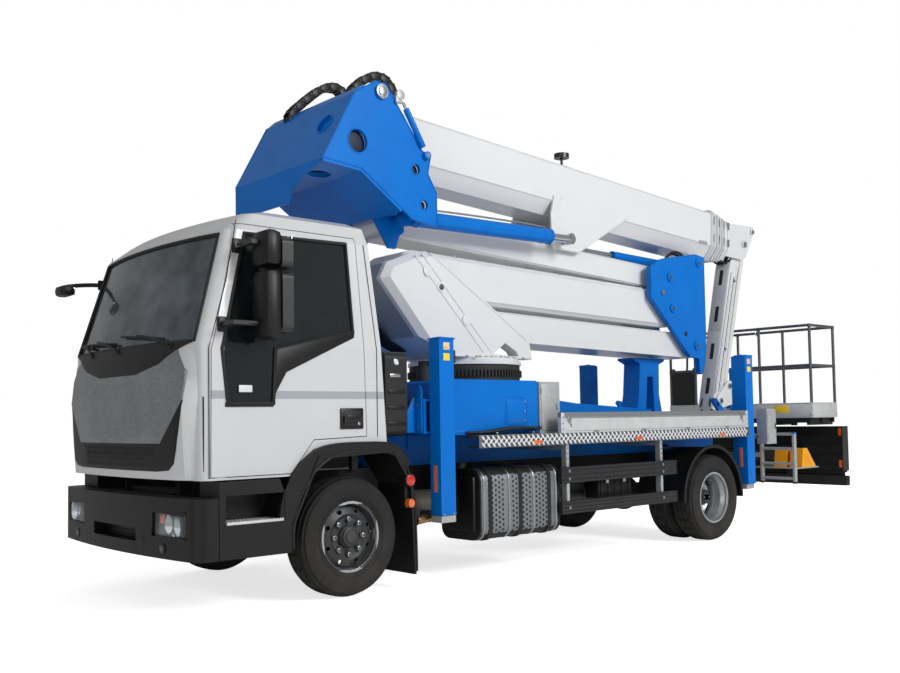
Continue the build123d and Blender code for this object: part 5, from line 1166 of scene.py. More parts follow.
def buildArmDetail():
    slope = -0.085 / 3.68

    def onArm(along, rise, y):
        return at(1.3 + along, y, 2.54 + along * slope + rise)

    for side in (1, -1):
        for rise in (0.168, -0.168):
            pipe([onArm(0.1, rise, side * 0.2555), onArm(3.5, rise, side * 0.2555)], 0.004, "whiteEnamel", False)
        pipe([onArm(0.35, 0.198, side * 0.2), onArm(3.3, 0.198, side * 0.2)], 0.01, "zincPlate", False)
        for along in (0.5, 1.2, 1.9, 2.6, 3.3):
            block(onArm(along - 0.015, 0.196, side * 0.17), onArm(along + 0.015, 0.217, side * 0.23), "zincPlate",
                0.003)
    joined("lowerArmDetail", "lower_arm")

    def onLink(along, rise, y):
        return at(1.75 + along, y, 2.138 + along * slope + rise)

    for side in (1, -1):
        for rise in (0.132, -0.132):
            pipe([onLink(0.16, rise, side * 0.256), onLink(3.55, rise, side * 0.256)], 0.006, "whiteEnamel", False)
        block(onLink(2.92, -0.1375, side * 0.17), onLink(3.02, -0.128, side * 0.262), "galvanised")
    joined("lowerLinkDetail", "lower_link")
    rise = (2.975 - 2.8) / (4.94 - 1.06)

    def onUpper(back, up, y):
        return at(back, y, 2.8 + (4.94 - back) * rise + up)

    for side in (1, -1):
        for up in (0.105, -0.105):
            pipe([onUpper(4.75, up, side * 0.201), onUpper(1.25, up, side * 0.201)], 0.004, "whiteEnamel", False)
        pipe([onUpper(4.7, 0.128, side * 0.12), onUpper(3.0, 0.132, side * 0.12), onUpper(1.3, 0.128, side * 0.12)],
            0.012, "sealRubber")
    joined("upperArmDetail", "upper_arm")
    for _, side, out in sides:
        for d, z in ((4.98, 2.455), (5.43, 2.053), (4.94, 2.8), (5.5, 3.01)):
            rod(out(d, 0.344, z), out(d, 0.3615, z), 0.052, "blueEnamel", 28, 0.005)
            rod(out(d, 0.36, z), out(d, 0.367, z), 0.024, "greySteel", 20, 0.003)
        outline = [(4.585, 2.885), (4.585, 2.56), (5.3, 1.925), (5.466, 1.91), (5.485, 1.745), (5.55, 1.745),
            (5.605, 1.985), (5.618, 2.215), (5.618, 3.085), (5.44, 3.105), (4.79, 2.99)]
        line = [out(d, 0.3455, z) for d, z in outline]
        pipe(line + line[:2], 0.005, "blueEnamel", False, 1)
        rod(out(5.22, 0.343, 2.18), out(5.22, 0.3465, 2.18), 0.03, "sealRubber", 24, 0.001)
        rod(out(4.8, 0.345, 2.62), out(4.8, 0.362, 2.62), 0.028, "zincPlate", 20, 0.004)
    pipe([at(5.3, 0.3, 3.06), at(5.15, 0.31, 3.13), at(4.95, 0.31, 3.06), at(4.83, 0.31, 2.93)], 0.014, "sealRubber")
    pipe([at(5.28, 0.27, 3.06), at(5.12, 0.28, 3.11), at(4.95, 0.28, 3.03), at(4.85, 0.28, 2.9)], 0.014, "sealRubber")
    joined("rearKnuckleDetail", "rear_knuckle")


buildTurretDetail()
buildArmDetail()
print("turret and arms built")


# ---- front knuckle, chains and boom
def buildKnuckleDetail():
    # holes in the sloping nose and the underside: a rolled rim round a disc of shade-darkened blue, painted shade
    # inside the hole
    nosePlane = Vector((0.8754, 0, 0.4834))  # outward from the sloping nose
    hole = Vector(at(0.233, 0.414, 3.622)) + nosePlane * 0.004
    hoop(hole, nosePlane, 0.086, 0.006, "blueEnamel", 40)
    hoop(at(0.232, 0.328, 3.262), (0.07, 0, 1), 0.096, 0.006, "blueEnamel", 40)
    rod(hole - nosePlane * 0.052, hole - nosePlane * 0.042, 0.1, "paintedShadeBlue", 32, 0.002)
    rod(at(0.232, 0.328, 3.276), at(0.232, 0.328, 3.286), 0.11, "paintedShadeBlue", 32, 0.002)
    slope = Vector((0.55, 0, -0.835))
    spot = Vector(at(0.455, -0.205, 3.222))
    rod(spot - slope * 0.01, spot + slope * 0.006, 0.034, "blueEnamel", 24, 0.003)
    rod(spot + slope * 0.005, spot + slope * 0.009, 0.024, "sealRubber")
    # turned edge of the apron
    rim = [(-0.14 + 0.29, 3.0), (0.182, 3.058), (0.212, 3.101), (0.27, 3.138), (0.341, 3.172), (0.411, 3.205),
        (0.508, 3.233), (0.629, 3.266)]
    pipe([at(0.049, y, z) for y, z in rim], 0.008, "blueEnamel", True, 2)
    # liners of shade-darkened blue behind the side plates' holes: painted shade seen through them
    outline = [(0.357, 3.847), (0.569, 3.978), (0.669, 3.976), (0.77, 3.848), (1.048, 3.49), (1.14, 3.459),
        (1.107, 3.31), (1.2, 3.158), (1.2, 2.873), (0.931, 2.91), (0.417, 3.248), (0.042, 3.275)]
    for _, side, out in sides:
        line = [out(d, 0.65, z) for d, z in outline]
        pipe(line + line[:2], 0.006, "blueEnamel", False, 1)
        for d, z, radius in ((0.379, 3.459, 0.096), (0.977, 3.326, 0.046), (1.063, 3.04, 0.042)):
            hoop(out(d, 0.65, z), (0, 1, 0), radius, 0.006, "blueEnamel", 36)
            rod(out(d, 0.6, z), out(d, 0.612, z), radius, "paintedShadeBlue", 32, 0.002)
        pinPlate(out(0.617, 0.666, 3.9), side, 0.04, "galvanised")
        # small levelling cylinder along the plate's rear edge
        top, foot = Vector(out(0.8, 0.668, 3.905)), Vector(out(1.085, 0.668, 3.455))
        run = foot - top
        rod(top + run * 0.22, top + run * 0.86, 0.026, "blueEnamel", 20, 0.004)
        rod(top, top + run * 0.25, 0.013, "hardChrome", 16, 0.001)
        rod(top + Vector((0, -side * 0.02, 0)), top + Vector((0, side * 0.018, 0)), 0.042, "galvanised", 24, 0.004)
        block(top + Vector((-0.02, -side * 0.012, -0.07)), top + Vector((0.045, side * 0.012, 0.02)), "galvanised",
            0.008)
        rod(foot + Vector((0, -side * 0.02, 0)), foot + Vector((0, side * 0.018, 0)), 0.034, "blueEnamel", 20, 0.004)
        bolts([tuple(foot + Vector((0, side * 0.018, 0)))], (0, side, 0), 0.012, 0.008)
    joined("frontKnuckleDetail", "front_knuckle")


def buildChains():
    # cable chains: overlapping side links and cross bars, bent over the knuckle
    values = {
        "pitch": 0.052, "half": 0.052, "height": 0.034, "nearY": 0.33, "farY": -0.31,
        "near": [(0.5, 3.8), (0.52, 3.87), (0.555, 3.975), (0.65, 4.07), (0.735, 4.135), (0.85, 4.16), (0.945, 4.12),
                 (0.99, 4.04), (0.992, 3.972)],
        "far": [(0.4, 3.78), (0.36, 3.85), (0.4, 3.93), (0.5, 4.02), (0.61, 4.12), (0.72, 4.205), (0.83, 4.24),
                (0.92, 4.222), (0.975, 4.14), (0.99, 4.05), (0.992, 3.975)],
    }
    half, height = values["half"], values["height"]
    for middle, route in ((values["nearY"], values["near"]), (values["farY"], values["far"])):
        curve = bpy.data.curves.new("route", "CURVE")
        curve.dimensions = "3D"
        curve.resolution_u = 16
        spline = curve.splines.new("NURBS")
        spline.points.add(len(route) - 1)
        for knot, (d, z) in zip(spline.points, route):
            knot.co = (aft(d), middle, z, 1)
        spline.order_u = 3
        spline.use_endpoint_u = True
        guide = bpy.data.objects.new("route", curve)
        line = bpy.data.meshes.new_from_object(guide)
        points = [v.co.copy() for v in line.vertices]
        bpy.data.objects.remove(guide)
        # even steps along the route
        steps, gone = [points[0]], 0.0
        for a, b in zip(points, points[1:]):
            gone += (b - a).length
            if gone >= values["pitch"]:
                steps.append(b)
                gone = 0.0
        for i, (a, b) in enumerate(zip(steps, steps[1:])):
            run = (b - a).normalized()
            lift = run.cross(Vector((0, 1, 0)))
            for edge in (1, -1):
                wide = half - (0.008 if i % 2 else 0.0)
                y = Vector((0, edge * wide, 0))
                corners = [a - run * 0.012 + lift * height, b + run * 0.012 + lift * height,
                    b + run * 0.022, b + run * 0.012 - lift * height,
                    a - run * 0.012 - lift * height, a - run * 0.022]
                plate([c + y for c in corners], (0, -edge * 0.008, 0), "blackMoulding", 0.0015)
                rod(b + y, b + y + Vector((0, edge * 0.004, 0)), 0.01, "blackMoulding", 10, 0.001)
            middlePlace = (a + b) / 2
            for up in (1, -1):
                c = middlePlace + lift * height * 0.88 * up
                bar = [c - run * 0.012 - lift * 0.003, c + run * 0.012 - lift * 0.003, c + run * 0.012 + lift * 0.003,
                    c - run * 0.012 + lift * 0.003]
                plate([p + Vector((0, -half + 0.006, 0)) for p in bar], (0, 2 * half - 0.012, 0),
                    "blackMoulding", 0.0)
        for shift, radius in ((-0.026, 0.012), (0.0, 0.014), (0.026, 0.012)):
            pipe([p + Vector((0, shift, 0)) for p in steps], radius, "sealRubber", True, 2)
    chains = joined("hoseChains", "front_knuckle", 40)
    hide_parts("hose_loops")


def alongBoom(start, up, y):
    # a place on the boom: distance from its root, height above its top line, and y
    lean = math.atan2(257, 4625)
    x = aft(0.76) - start * math.cos(lean) - up * math.sin(lean)
    z = 3.966 - start * math.sin(lean) + up * math.cos(lean)
    return (x, y, z)


def buildBoomDetail():
    values = {"sections": ((0, 5.25, 0.0, "boom_base"), (1, 5.39, 0.018, "boom_section_2"),
        (2, 5.52, 0.035, "boom_section_3"), (3, 5.65, 0.051, "boom_head"))}
    for index, end, inset, body in values["sections"]:
        half = 0.25 - inset + 0.014
        for side in (1, -1):
            y = side * half
            # wear-pad keepers with their bolts round each collar
            for up in (-0.09, -0.3):
                low = alongBoom(end - 0.03, up - 0.045, y - side * 0.002)
                high = alongBoom(end - 0.004, up + 0.045, y + side * 0.008)
                block(low, high, "zincPlate" if index else "whiteEnamel", 0.003)
                bolts([alongBoom(end - 0.017, up + k, y + side * 0.008) for k in (-0.025, 0.025)], (0, side, 0),
                    0.0075, 0.006)
            low = alongBoom(end - 0.032, 0.012 - inset, side * 0.06)
            high = alongBoom(end - 0.004, 0.02 - inset, side * 0.2)
            block(low, high, "zincPlate", 0.003)
        if index == 0:
            for _, side, out in sides:
                for up, thick in ((-0.022, 0.004), (-0.4, 0.006)):
                    line = [alongBoom(start, up, side * 0.2505) for start in (0.35, 5.2)]
                    pipe(line, thick, "whiteEnamel", False, 1)
                pinPlate(out(3.16, 0.327, 3.02), side, 0.034)
                # edge flange of the hanging gusset
                line = [out(d, 0.2725, z) for d, z in ((3.25, 3.49), (3.07, 3.3), (3.07, 3.0), (3.1, 2.945),
                    (3.48, 2.943), (4.33, 3.415))]
                pipe(line, 0.008, "whiteEnamel", False, 1)
                block(alongBoom(4.95, -0.41, side * 0.245), alongBoom(5.1, -0.37, side * 0.268), "galvanised", 0.006)
            rod(at(3.44, 0.1, 3.79), at(3.44, 0.1, 3.815), 0.03, "zincPlate", 20, 0.003)
            for k in range(5):
                hoop(at(3.44, 0.1, 3.947 + 0.009 * k), (0, 0, 1), 0.0745, 0.0025, "blackMoulding", 36)
        joined("boomCollar." + str(index + 1), body)
    for _, side, out in sides:
        pinPlate(out(6.83, 0.152, 3.4), side, 0.032)
        pinPlate(out(7.025, 0.152, 3.58), side, 0.024)
    for y in (-0.05, 0.0, 0.05):
        pipe([at(6.42, y, 3.18), at(6.55, y, 3.13), at(6.7, y, 3.18), at(6.8, y, 3.27)], 0.013, "sealRubber")
    joined("boomHeadDetail", "boom_head")
    # lift cylinder: gland, end cap and pressure pipe
    foot, eye = Vector(at(1.06, 0, 2.975)), Vector(at(3.16, 0, 3.02))
    run = (eye - foot).normalized()
    length = (eye - foot).length
    for side in (1, -1):
        y = Vector((0, side * 0.42, 0))
        for share, thick in ((0.845, 0.078), (0.8, 0.076), (0.045, 0.077)):
            c = foot + run * length * share + y
            rod(c, c + run * 0.028, thick, "blueEnamel", 32, 0.004)
        pipe([foot + run * reach + Vector((0, side * 0.44, up)) for reach, up in ((0.15, 0.078), (0.22, 0.092),
            (length * 0.78, 0.092), (length * 0.82, 0.074))], 0.009, "zincPlate")
    joined("liftBarrelDetail", "lift_barrels")


buildKnuckleDetail()
buildChains()
buildBoomDetail()
print("knuckle, chains and boom built")


# ---- boom end, jib and basket
def buildBoomRings():
    # flanges round the mouth of each section, with dark wear pads between them
    values = {"sections": ((0, 5.25, 0.0, "boom_base"), (1, 5.39, 0.018, "boom_section_2"),
        (2, 5.52, 0.035, "boom_section_3")), "stand": 0.03, "thick": 0.016}
    for index, end, inset, body in values["sections"]:
        wide = 0.25 - inset + values["stand"]
        top = values["stand"] - inset
        section = [(-wide, top - 0.05), (-wide + 0.05, top), (wide - 0.05, top), (wide, top - 0.05),
            (wide, -0.4 + inset * 0.4 - 0.012), (0.15 - inset * 0.6 + 0.025, -0.54 + inset - 0.026),
            (-0.15 + inset * 0.6 - 0.025, -0.54 + inset - 0.026), (-wide, -0.4 + inset * 0.4 - 0.012)]
        for start in (end - 0.018, end - 0.06):
            outer = [alongBoom(start, up, y) for y, up in section]
            inner = [alongBoom(start, up * 0.9 - 0.02, y * 0.9) for y, up in section]
            run = Vector(alongBoom(start + values["thick"], 0, 0)) - Vector(alongBoom(start, 0, 0))
            for k in range(len(outer)):
                n = (k + 1) % len(outer)
                plate([outer[k], outer[n], inner[n], inner[k]], tuple(run), "whiteEnamel", 0.0)
        for side in (1, -1):
            for up in (-0.1, -0.31):
                block(alongBoom(end - 0.05, up - 0.05, side * (wide - 0.022)),
                    alongBoom(end - 0.012, up + 0.05, side * (wide - 0.006)), "sealRubber", 0.003)
                bolts([alongBoom(end + 0.0, up + k, side * (wide - 0.014)) for k in (-0.03, 0.03)], tuple(run), 0.009,
                    0.01)
            block(alongBoom(end - 0.05, top - 0.02, side * 0.06), alongBoom(end + 0.006, top + 0.012, side * 0.16),
                "greySteel")
        joined("boomRing." + str(index + 1), body)


jibLine = {"start": (6.83, 3.4), "end": (6.25, 1.43), "slots": (0.5, 0.98, 1.46, 1.9), "slotLong": 0.2}


def onJib(along, behind, y):
    # a place by its distance down the jib's line and behind it
    (d0, z0), (d1, z1) = jibLine["start"], jibLine["end"]
    length = math.hypot(d1 - d0, z1 - z0)
    u, v = (d1 - d0) / length, (z1 - z0) / length
    return at(d0 + u * along - v * behind, y, z0 + v * along + u * behind)


def jibBlock(span, depth, width, finish):
    # a bar lying along the jib
    low, high = depth
    ring = [onJib(span[0], low, width[0]), onJib(span[1], low, width[0]), onJib(span[1], high, width[0]),
        onJib(span[0], high, width[0])]
    return plate(ring, (0, width[1] - width[0], 0), finish, 0.002)


def jibFront(along):
    # how far ahead of the line the front face lies
    return -(0.17 - 0.048 * (along - 0.415) / 1.775)


def buildJib():
    # cover strip down the front, with long slots drawn as black plates: painted shade inside the openings
    face = [(0.32, 0.005), (1.2, 0.005), (2.18, 0.005)]
    for (a, lift), (b, _) in zip(face, face[1:]):
        ring = [onJib(a, jibFront(a) - lift, -0.085), onJib(b, jibFront(b) - lift, -0.085),
            onJib(b, jibFront(b), -0.085), onJib(a, jibFront(a), -0.085)]
        plate(ring, (0, 0.17, 0), "jibGrey", 0.001)
    for along in jibLine["slots"]:
        a, b = along - jibLine["slotLong"] / 2, along + jibLine["slotLong"] / 2
        ring = [onJib(a, jibFront(a) - 0.0065, -0.024), onJib(b, jibFront(b) - 0.0065, -0.024),
            onJib(b, jibFront(b) - 0.002, -0.024), onJib(a, jibFront(a) - 0.002, -0.024)]
        plate(ring, (0, 0.048, 0), "sealRubber", 0.0008)
    for side in (1, -1):
        y = side * 0.1
        # painted shade: a thin strip of blue enamel darkened as in deep shade, along each side of the jib
        jibBlock((0.42, 2.0), (-0.125, -0.118), (y - side * 0.002, y + side * 0.004), "paintedShadeBlue")
        jibBlock((0.42, 1.98), (-0.1, -0.088), (y - side * 0.002, y + side * 0.01), "whiteEnamel")
        jibBlock((0.45, 1.95), (-0.052, -0.04), (y - side * 0.002, y + side * 0.003), "sealRubber")
        jibBlock((0.3, 2.0), (-0.02, -0.008), (y - side * 0.002, y + side * 0.01), "whiteEnamel")
        for along in (0.0, 2.0536):
            x, _, z = onJib(along, 0, 0)
            rod((x, y, z), (x, y + side * 0.016 if along == 0 else y + side * 0.004, z), 0.05, "whiteEnamel", 28,
                0.003)
        for along in (0.5, 1.4):
            x, _, z = onJib(along, -0.028, 0)
            bolts([(x, y, z)], (0, side, 0), 0.014, 0.012)
    joined("jibRails", "jib")
    for side in (1, -1):
        for shift in (0.0, 0.022, 0.044):
            pipe([onJib(0.3, -0.185, side * (0.035 + shift * 0.6)), onJib(0.2, -0.205, side * (0.04 + shift * 0.6)),
                onJib(0.05, -0.16, side * (0.06 + shift * 0.5)), onJib(-0.05, -0.09, side * (0.075 + shift * 0.4))],
                0.011, "sealRubber")
        pipe([onJib(2.05, -0.118, side * 0.05), onJib(2.12, -0.14, side * 0.06), onJib(2.2, -0.1, side * 0.07),
            onJib(2.22, -0.05, side * 0.075)], 0.012, "sealRubber")
    joined("jibHoses", "jib")
    for side in (1, -1):
        y = side * 0.122
        outline = [(6.168, 1.376), (6.24, 1.345), (6.56, 1.4), (6.612, 1.44), (6.612, 1.56), (6.5, 1.672),
            (6.42, 1.672), (6.18, 1.48)]
        line = [at(d, y, z) for d, z in outline]
        pipe(line + line[:2], 0.004, "whiteEnamel", False, 1)
        for d, z in ((6.25, 1.43), (6.445, 1.61), (6.548, 1.47)):
            rod(at(d, y + side * 0.004, z), at(d, y + side * 0.012, z), 0.034, "zincPlate", 24, 0.003)
            rod(at(d, y + side * 0.011, z), at(d, y + side * 0.018, z), 0.012, "castIron", 12, 0.002)
    joined("yokeDetail", "jib_yoke")


def buildBasket():
    values = {"front": 6.8, "back": 7.41, "half": 1.0, "rail": 2.313, "mid": 1.835}
    front, back, half = values["front"], values["back"], values["half"]
    # aluminium kick plates with a folded lip, blank plate, chequered floor and the frame under it
    for _, side, out in sides:
        block(out(front + 0.01, half - 0.001, 1.232), out(back - 0.01, half + 0.001, 1.376), "millAluminium", 0.001)
        pipe([out(front + 0.01, half - 0.002, 1.385), out(back - 0.01, half - 0.002, 1.385)], 0.006, "millAluminium",
            False, 2)
    for d, lift in ((front, -0.002), (back, 0.002)):
        for low, high in ((-half + 0.01, -0.095), (0.095, half - 0.01)):
            if d == back:
                low, high = (-half + 0.01, 0.0) if low < 0 else (0.0, half - 0.01)
            block(at(d, low, 1.232), at(d + lift, high, 1.376), "millAluminium", 0.001)
            pipe([at(d, low, 1.385), at(d, high, 1.385)], 0.006, "millAluminium", False, 2)
    block(at(front + 0.02, -half + 0.02, 1.238), at(back - 0.02, half - 0.02, 1.2425), "millAluminium", 0.001)
    for i in range(9):
        for j in range(28):
            d, y = front + 0.06 + 0.062 * i, -0.95 + 0.07 * j
            turn = 0.012 if (i + j) % 2 else -0.012
            plate([at(d - 0.014, y - turn, 1.242), at(d - 0.011, y - turn + 0.005, 1.242),
                at(d + 0.014, y + turn, 1.242), at(d + 0.011, y + turn - 0.005, 1.242)], (0, 0, 0.0022),
                "millAluminium", 0.0)
    joined("basketPlates", "basket")
    block(at(front - 0.003, 0.5, 1.27), at(front, 0.7, 1.36), "labelYellow", 0.001)
    for d in (front + 0.03, (front + back) / 2, back - 0.03):
        block(at(d - 0.02, -half + 0.03, 1.15), at(d + 0.02, half - 0.03, 1.212), "blackMoulding", 0.006)
    for y in (-0.93, -0.45, 0.45, 0.93):
        block(at(front + 0.02, y - 0.02, 1.122), at(back - 0.02, y + 0.02, 1.212), "blackMoulding", 0.006)
    for y in (-0.6, 0.6):
        rod(at(7.1, y, 1.116), at(7.1, y, 1.15), 0.04, "sealRubber", 20, 0.01)
    joined("basketFrame", "basket")
    # tube joints, rail sleeves, harness ring, gate bar with its hinge and latch
    places = ((front + 0.017, half - 0.017), (front + 0.017, 0.32), (front + 0.017, -0.605),
        (front + 0.017, -half + 0.017), (back - 0.017, half - 0.017), (back - 0.017, 0.32), (back - 0.017, -0.32),
        (back - 0.017, -half + 0.017))
    for d, y in places:
        for z in (values["mid"], values["rail"] - 0.002):
            rod(at(d, y, z - 0.024), at(d, y, z + 0.014), 0.0195, "greySteel", 18, 0.003)
        rod(at(d, y, 1.24), at(d, y, 1.262), 0.024, "zincPlate", 18, 0.003)
        bolts([at(d, y, 1.252)], (1, 0, 0), 0.006, 0.028)
    hoop(at(front + 0.017, 0.3, 2.262), (0.3, 1, 0), 0.03, 0.007, "zincPlate", 24)
    hoop(at(back - 0.017, -0.45, 2.268), (0.3, 1, 0), 0.026, 0.006, "zincPlate", 24)
    for y in (-0.94, -0.62):
        rod(at(front + 0.017, y, values["mid"] - 0.04), at(front + 0.017, y, values["mid"] + 0.04), 0.022, "greySteel",
            18, 0.004)
    joined("basketRails", "basket")
    # control box: face plate, levers with boots, stop button, lamps and cover
    d0, d1, y0, y1 = 6.836, 7.024, -0.935, -0.665
    block(at(d0, y0, 2.246), at(d1, y1, 2.256), "greySteel", 0.003)
    block(at(d0 + 0.01, y0 + 0.01, 2.254), at(d1 - 0.03, y1 - 0.01, 2.26), "blackMoulding", 0.003)
    pipe([at(d1, y0 + 0.01, 2.2), at(d1 + 0.05, y0 + 0.01, 2.24), at(d1 + 0.05, y1 - 0.01, 2.24),
        at(d1, y1 - 0.01, 2.2)], 0.009, "greySteel")
    for y in (-0.88, -0.8, -0.72):
        rod(at(6.91, y, 2.258), at(6.91, y, 2.275), 0.02, "sealRubber", 20, tip=0.01)
        rod(at(6.91, y, 2.272), at(6.91, y, 2.302), 0.005, "zincPlate", 12)
        rod(at(6.91, y, 2.298), at(6.91, y, 2.318), 0.011, "sealRubber", 16, 0.005)
    rod(at(6.98, -0.72, 2.258), at(6.98, -0.72, 2.272), 0.013, "labelYellow", 20, 0.002)
    rod(at(6.98, -0.72, 2.27), at(6.98, -0.72, 2.284), 0.018, "redLens", 20, 0.005)
    for y in (-0.88, -0.84, -0.8):
        rod(at(6.985, y, 2.257), at(6.985, y, 2.266), 0.007, "amberLens", 14, 0.002)
    pipe([at(6.93, -0.8, 2.03), at(6.93, -0.8, 1.9), at(6.86, -0.78, 1.7), at(6.835, -0.66, 1.5),
        at(6.84, -0.6, 1.39)], 0.014, "sealRubber")
    block(at(6.9, -0.86, 1.242), at(7.02, -0.74, 1.285), "blackMoulding", 0.012)
    joined("controlBox", "basket")
    # bearing caps, actuator ribs and greasing nipple on the carrier
    for z in (1.364, 1.552):
        hoop(at(6.65, 0, z), (0, 0, 1), 0.0525, 0.004, "blueEnamel", 36)
    for k in range(5):
        hoop(at(6.65, 0, 1.4 + 0.03 * k), (0, 0, 1), 0.0515, 0.003, "greySteel")
    pipe([at(6.7, 0.0, 1.44), at(6.712, 0.0, 1.44), at(6.716, 0.0, 1.446)], 0.004, "zincPlate")
    joined("carrierRibs", "basket_carrier")
    for low in (1.336, 1.56):
        z = low + 0.024
        hoop(at(6.65, 0, z), (0, 0, 1), 0.04, 0.003, "blueEnamel", 28)
        bolts([(aft(6.65) + 0.03 * math.cos(a), 0.03 * math.sin(a), z) for a in (0.5, 2.6, 4.7)], (0, 0, 1), 0.005,
            0.004)
    bolts([at(6.786, y, z) for y in (-0.05, 0.05) for z in (1.27, 1.4, 1.66, 1.81)], (1, 0, 0), 0.009, 0.006)
    joined("bracketDetail", "basket")


buildBoomRings()
buildJib()
buildBasket()
print("jib and basket built")


# ---- rear end and saddle
def buildRear():
    # dark board between the panel and the underrun bar, tail lamps, reflectors and a blank plate
    block(at(7.384, -1.085, 0.5), at(7.39, 1.085, 0.556), "blackMoulding", 0.002)
    for z in (0.62, 0.74, 0.86, 0.98):
        block(at(7.374, -1.06, z), at(7.382, 1.06, z + 0.012), "blackMoulding", 0.003)
    for _, side, out in sides:
        block(out(7.33, 1.119, 0.388), out(7.42, 1.126, 0.497), "blackMoulding", 0.003)
        pipe([out(7.44, 1.094, 0.57), out(7.44, 1.094, 1.1)], 0.008, "blackMoulding", False, 2)
    joined("rearBoard", "truck")
    for _, side, out in sides:
        for z in (0.985, 0.6):
            block(out(7.369, 1.02, z), out(7.374, 1.06, z + 0.09), "amberLens", 0.003)
        for y, finish in ((0.78, "redLens"), (0.885, "redLens"), (0.99, "amberLens")):
            rod(out(7.45, y, 0.665), out(7.4595, y, 0.665), 0.044, finish, 28, 0.003)
            hoop(out(7.4565, y, 0.665), (1, 0, 0), 0.046, 0.0028, "blackMoulding")
        block(out(7.45, 1.037, 0.615), out(7.4595, 1.055, 0.715), "clearLens", 0.002)
    block(at(7.424, -0.252, 0.607), at(7.4275, 0.252, 0.713), "whiteEnamel", 0.001)
    for y in (-0.2, 0.2):
        bolts([at(7.4275, y, 0.66)], (-1, 0, 0), 0.005, 0.003)
    joined("tailLamps", "truck")
    # ladder: blue caps, tread strips and hinge; chocks: ribs and a handle slot
    for y in (1.045, 0.64):
        block(at(6.232, y - 0.015, 1.028), at(6.293, y + 0.015, 1.046), "blueEnamel")
        block(at(6.232, y - 0.015, 0.462), at(6.293, y + 0.015, 0.486), "sealRubber")
    for z in (0.52, 0.69, 0.86, 1.025):
        for k in range(12):
            y = 0.665 + 0.031 * k
            block(at(6.244, y, z + 0.013), at(6.281, y + 0.01, z + 0.017), "millAluminium", 0.001)
    joined("ladderDetail", "truck")
    for middle in (0.96, 0.76):
        for k in range(4):
            share = 0.15 + 0.22 * k
            d, z = 6.57 + 0.2 * share, 0.86 - 0.22 * share
            block(at(d - 0.01, middle - 0.07, z - 0.01), at(d + 0.012, middle + 0.07, z + 0.012), "yellowMoulding",
                0.005)
        block(at(6.5, middle - 0.04, 0.858), at(6.55, middle + 0.04, 0.863), "sealRubber", 0.002)
        for way in (1, -1):
            y = middle + way * 0.0752
            ring = [at(d, y, z) for d, z in ((6.49, 0.69), (6.51, 0.8), (6.56, 0.8), (6.66, 0.69))]
            plate(ring, (0, way * 0.0015, 0), "yellowMoulding", 0.0006)
    joined("chockDetail", "truck")
    # pipes up the rear legs
    for _, side, out in sides:
        pipe([out(5.26, 1.0, 0.9), out(5.26, 1.02, 1.3), out(5.265, 1.02, 1.62)], 0.009, "sealRubber")
        pipe([out(5.4, 0.97, 0.92), out(5.47, 0.98, 0.98), out(5.58, 1.0, 1.02)], 0.01, "sealRubber")
    joined("rearLegPipes", "truck")


buildRear()
print("rear end built")


# ---- cab interior
def cushion(name, centre, size, round, finish, body, seams):
    # stuffed pad: a rounded block, crowned on its faces, with welted seams
    deselectAll()
    bpy.ops.mesh.primitive_cube_add(size=1, location=centre, scale=size)
    pad = settle(finish)
    pad.modifiers.new("round", "BEVEL").width = round
    pad.modifiers["round"].segments = 4
    bpy.ops.object.modifier_apply(modifier="round")
    bpy.ops.object.mode_set(mode="EDIT")
    bpy.ops.mesh.select_all(action="SELECT")
    bpy.ops.mesh.subdivide(number_cuts=3)
    bpy.ops.object.mode_set(mode="OBJECT")
    for vertex in pad.data.vertices:
        share = [(vertex.co[k] - centre[k]) / (size[k] / 2) for k in range(3)]
        swell = (1 - min(1, abs(share[1])) ** 2.5)
        long = 0 if size[0] > size[2] else 2
        crown = swell * (1 - min(1, abs(share[long])) ** 2.5) * 0.022
        thin = 2 if long == 0 else 0
        vertex.co[thin] += crown * (1 if share[thin] > 0.3 else 0)
        for seam in seams:
            near = abs(share[1] - seam) * size[1] / 2
            if near < 0.02 and share[thin] > 0.3:
                vertex.co[thin] -= 0.01 * (1 - near / 0.02)
    pad = joined(name, body, 60)
    return pad


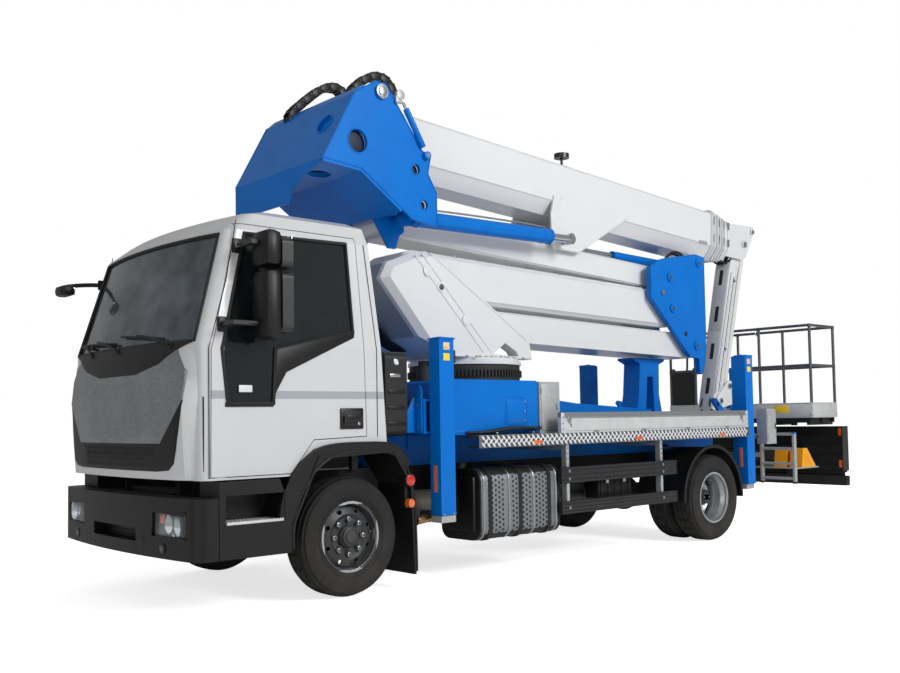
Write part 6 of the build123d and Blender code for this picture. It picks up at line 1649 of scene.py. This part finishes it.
def buildInterior():
    for name, side, _ in sides:
        middle = side * 0.54
        cushion("seatCushion." + name, at(-0.08, middle, 1.425), (0.345, 0.5, 0.115), 0.04, "seatCloth", "truck",
            (-0.62, 0.62))
        cushion("seatBack." + name, at(0.085, middle, 1.765), (0.115, 0.47, 0.62), 0.045, "seatCloth", "truck",
            (-0.6, 0.6))
        cushion("headRest." + name, at(0.1, middle, 2.215), (0.1, 0.27, 0.165), 0.04, "seatCloth", "truck",
            ())
        for y in (-0.07, 0.07):
            rod(at(0.135, middle + y, 2.09), at(0.135, middle + y, 2.16), 0.007, "zincPlate", 12)
        pipe([at(0.2, middle + side * 0.3, 2.2), at(0.12, middle + side * 0.27, 1.9),
            at(0.0, middle + side * 0.26, 1.5), at(-0.03, middle + side * 0.265, 1.33)], 0.012, "sealRubber")
        block(at(-0.05, middle - side * 0.285, 1.3), at(0.0, middle - side * 0.262, 1.44), "redLens")
        joined("seatFittings." + name, "truck")
    # dashboard: vents, dial hood, dials, centre screen, gear knob and wheel hub
    for y in (-0.78, -0.22, 0.2, 0.86):
        block(at(-0.79, y - 0.055, 1.595), at(-0.758, y + 0.055, 1.655), "blackMoulding", 0.008)
        for k in range(4):
            block(at(-0.765, y - 0.048, 1.602 + 0.013 * k), at(-0.752, y + 0.048, 1.606 + 0.013 * k), "greySteel",
                0.001)
    block(at(-0.86, 0.34, 1.69), at(-0.78, 0.7, 1.765), "dashVinyl", 0.03)
    for y in (0.43, 0.52, 0.61):
        hoop(at(-0.776, y, 1.722), (1, 0, 0), 0.028, 0.003, "zincPlate", 24)
        rod(at(-0.782, y, 1.722), at(-0.777, y, 1.722), 0.026, "sealRubber", 24)
    block(at(-0.79, -0.11, 1.55), at(-0.757, 0.11, 1.68), "sealRubber", 0.006)
    block(at(-0.8, -0.16, 1.4), at(-0.74, 0.16, 1.53), "dashVinyl", 0.02)
    for y in (-0.09, 0.0, 0.09):
        rod(at(-0.745, y, 1.465), at(-0.728, y, 1.465), 0.018, "blackMoulding", 20, 0.003)
    pipe([at(-0.7, 0.2, 1.34), at(-0.66, 0.2, 1.42), at(-0.62, 0.2, 1.5)], 0.01, "zincPlate")
    rod(at(-0.625, 0.2, 1.485), at(-0.605, 0.2, 1.53), 0.024, "sealRubber", 20, 0.01)
    hub, out = Vector(at(-0.512, 0.52, 1.696)), Vector((-0.3, 0, 0.21)).normalized()
    rod(hub + out * 0.016, hub + out * 0.03, 0.058, "dashVinyl", 28, 0.008)
    pipe([hub - out * 0.02 + Vector((0, 0.02, 0)), hub - out * 0.04 + Vector((0, 0.2, 0.02))], 0.008, "blackMoulding")
    for y in (0.44, 0.56):
        block(at(-0.93, y - 0.03, 1.16), at(-0.91, y + 0.03, 1.24), "sealRubber", 0.006)
    joined("dashDetail", "truck")


buildInterior()
print("interior built")


# ---- far side ramp mirror over the windscreen's right corner
def buildRampMirror():
    pipe([at(-1.0, -0.99, 2.39), at(-1.12, -1.05, 2.395), at(-1.25, -1.07, 2.37)], 0.017, "blackMoulding")
    block(at(-0.97, -1.0, 2.35), at(-1.03, -0.975, 2.43), "blackMoulding", 0.01)
    block(at(-1.21, -1.17, 2.29), at(-1.318, -0.99, 2.375), "blackMoulding", 0.03)
    block(at(-1.222, -1.155, 2.3), at(-1.2085, -1.005, 2.362), "mirrorGlass")
    joined("rampMirror", "truck")


buildRampMirror()
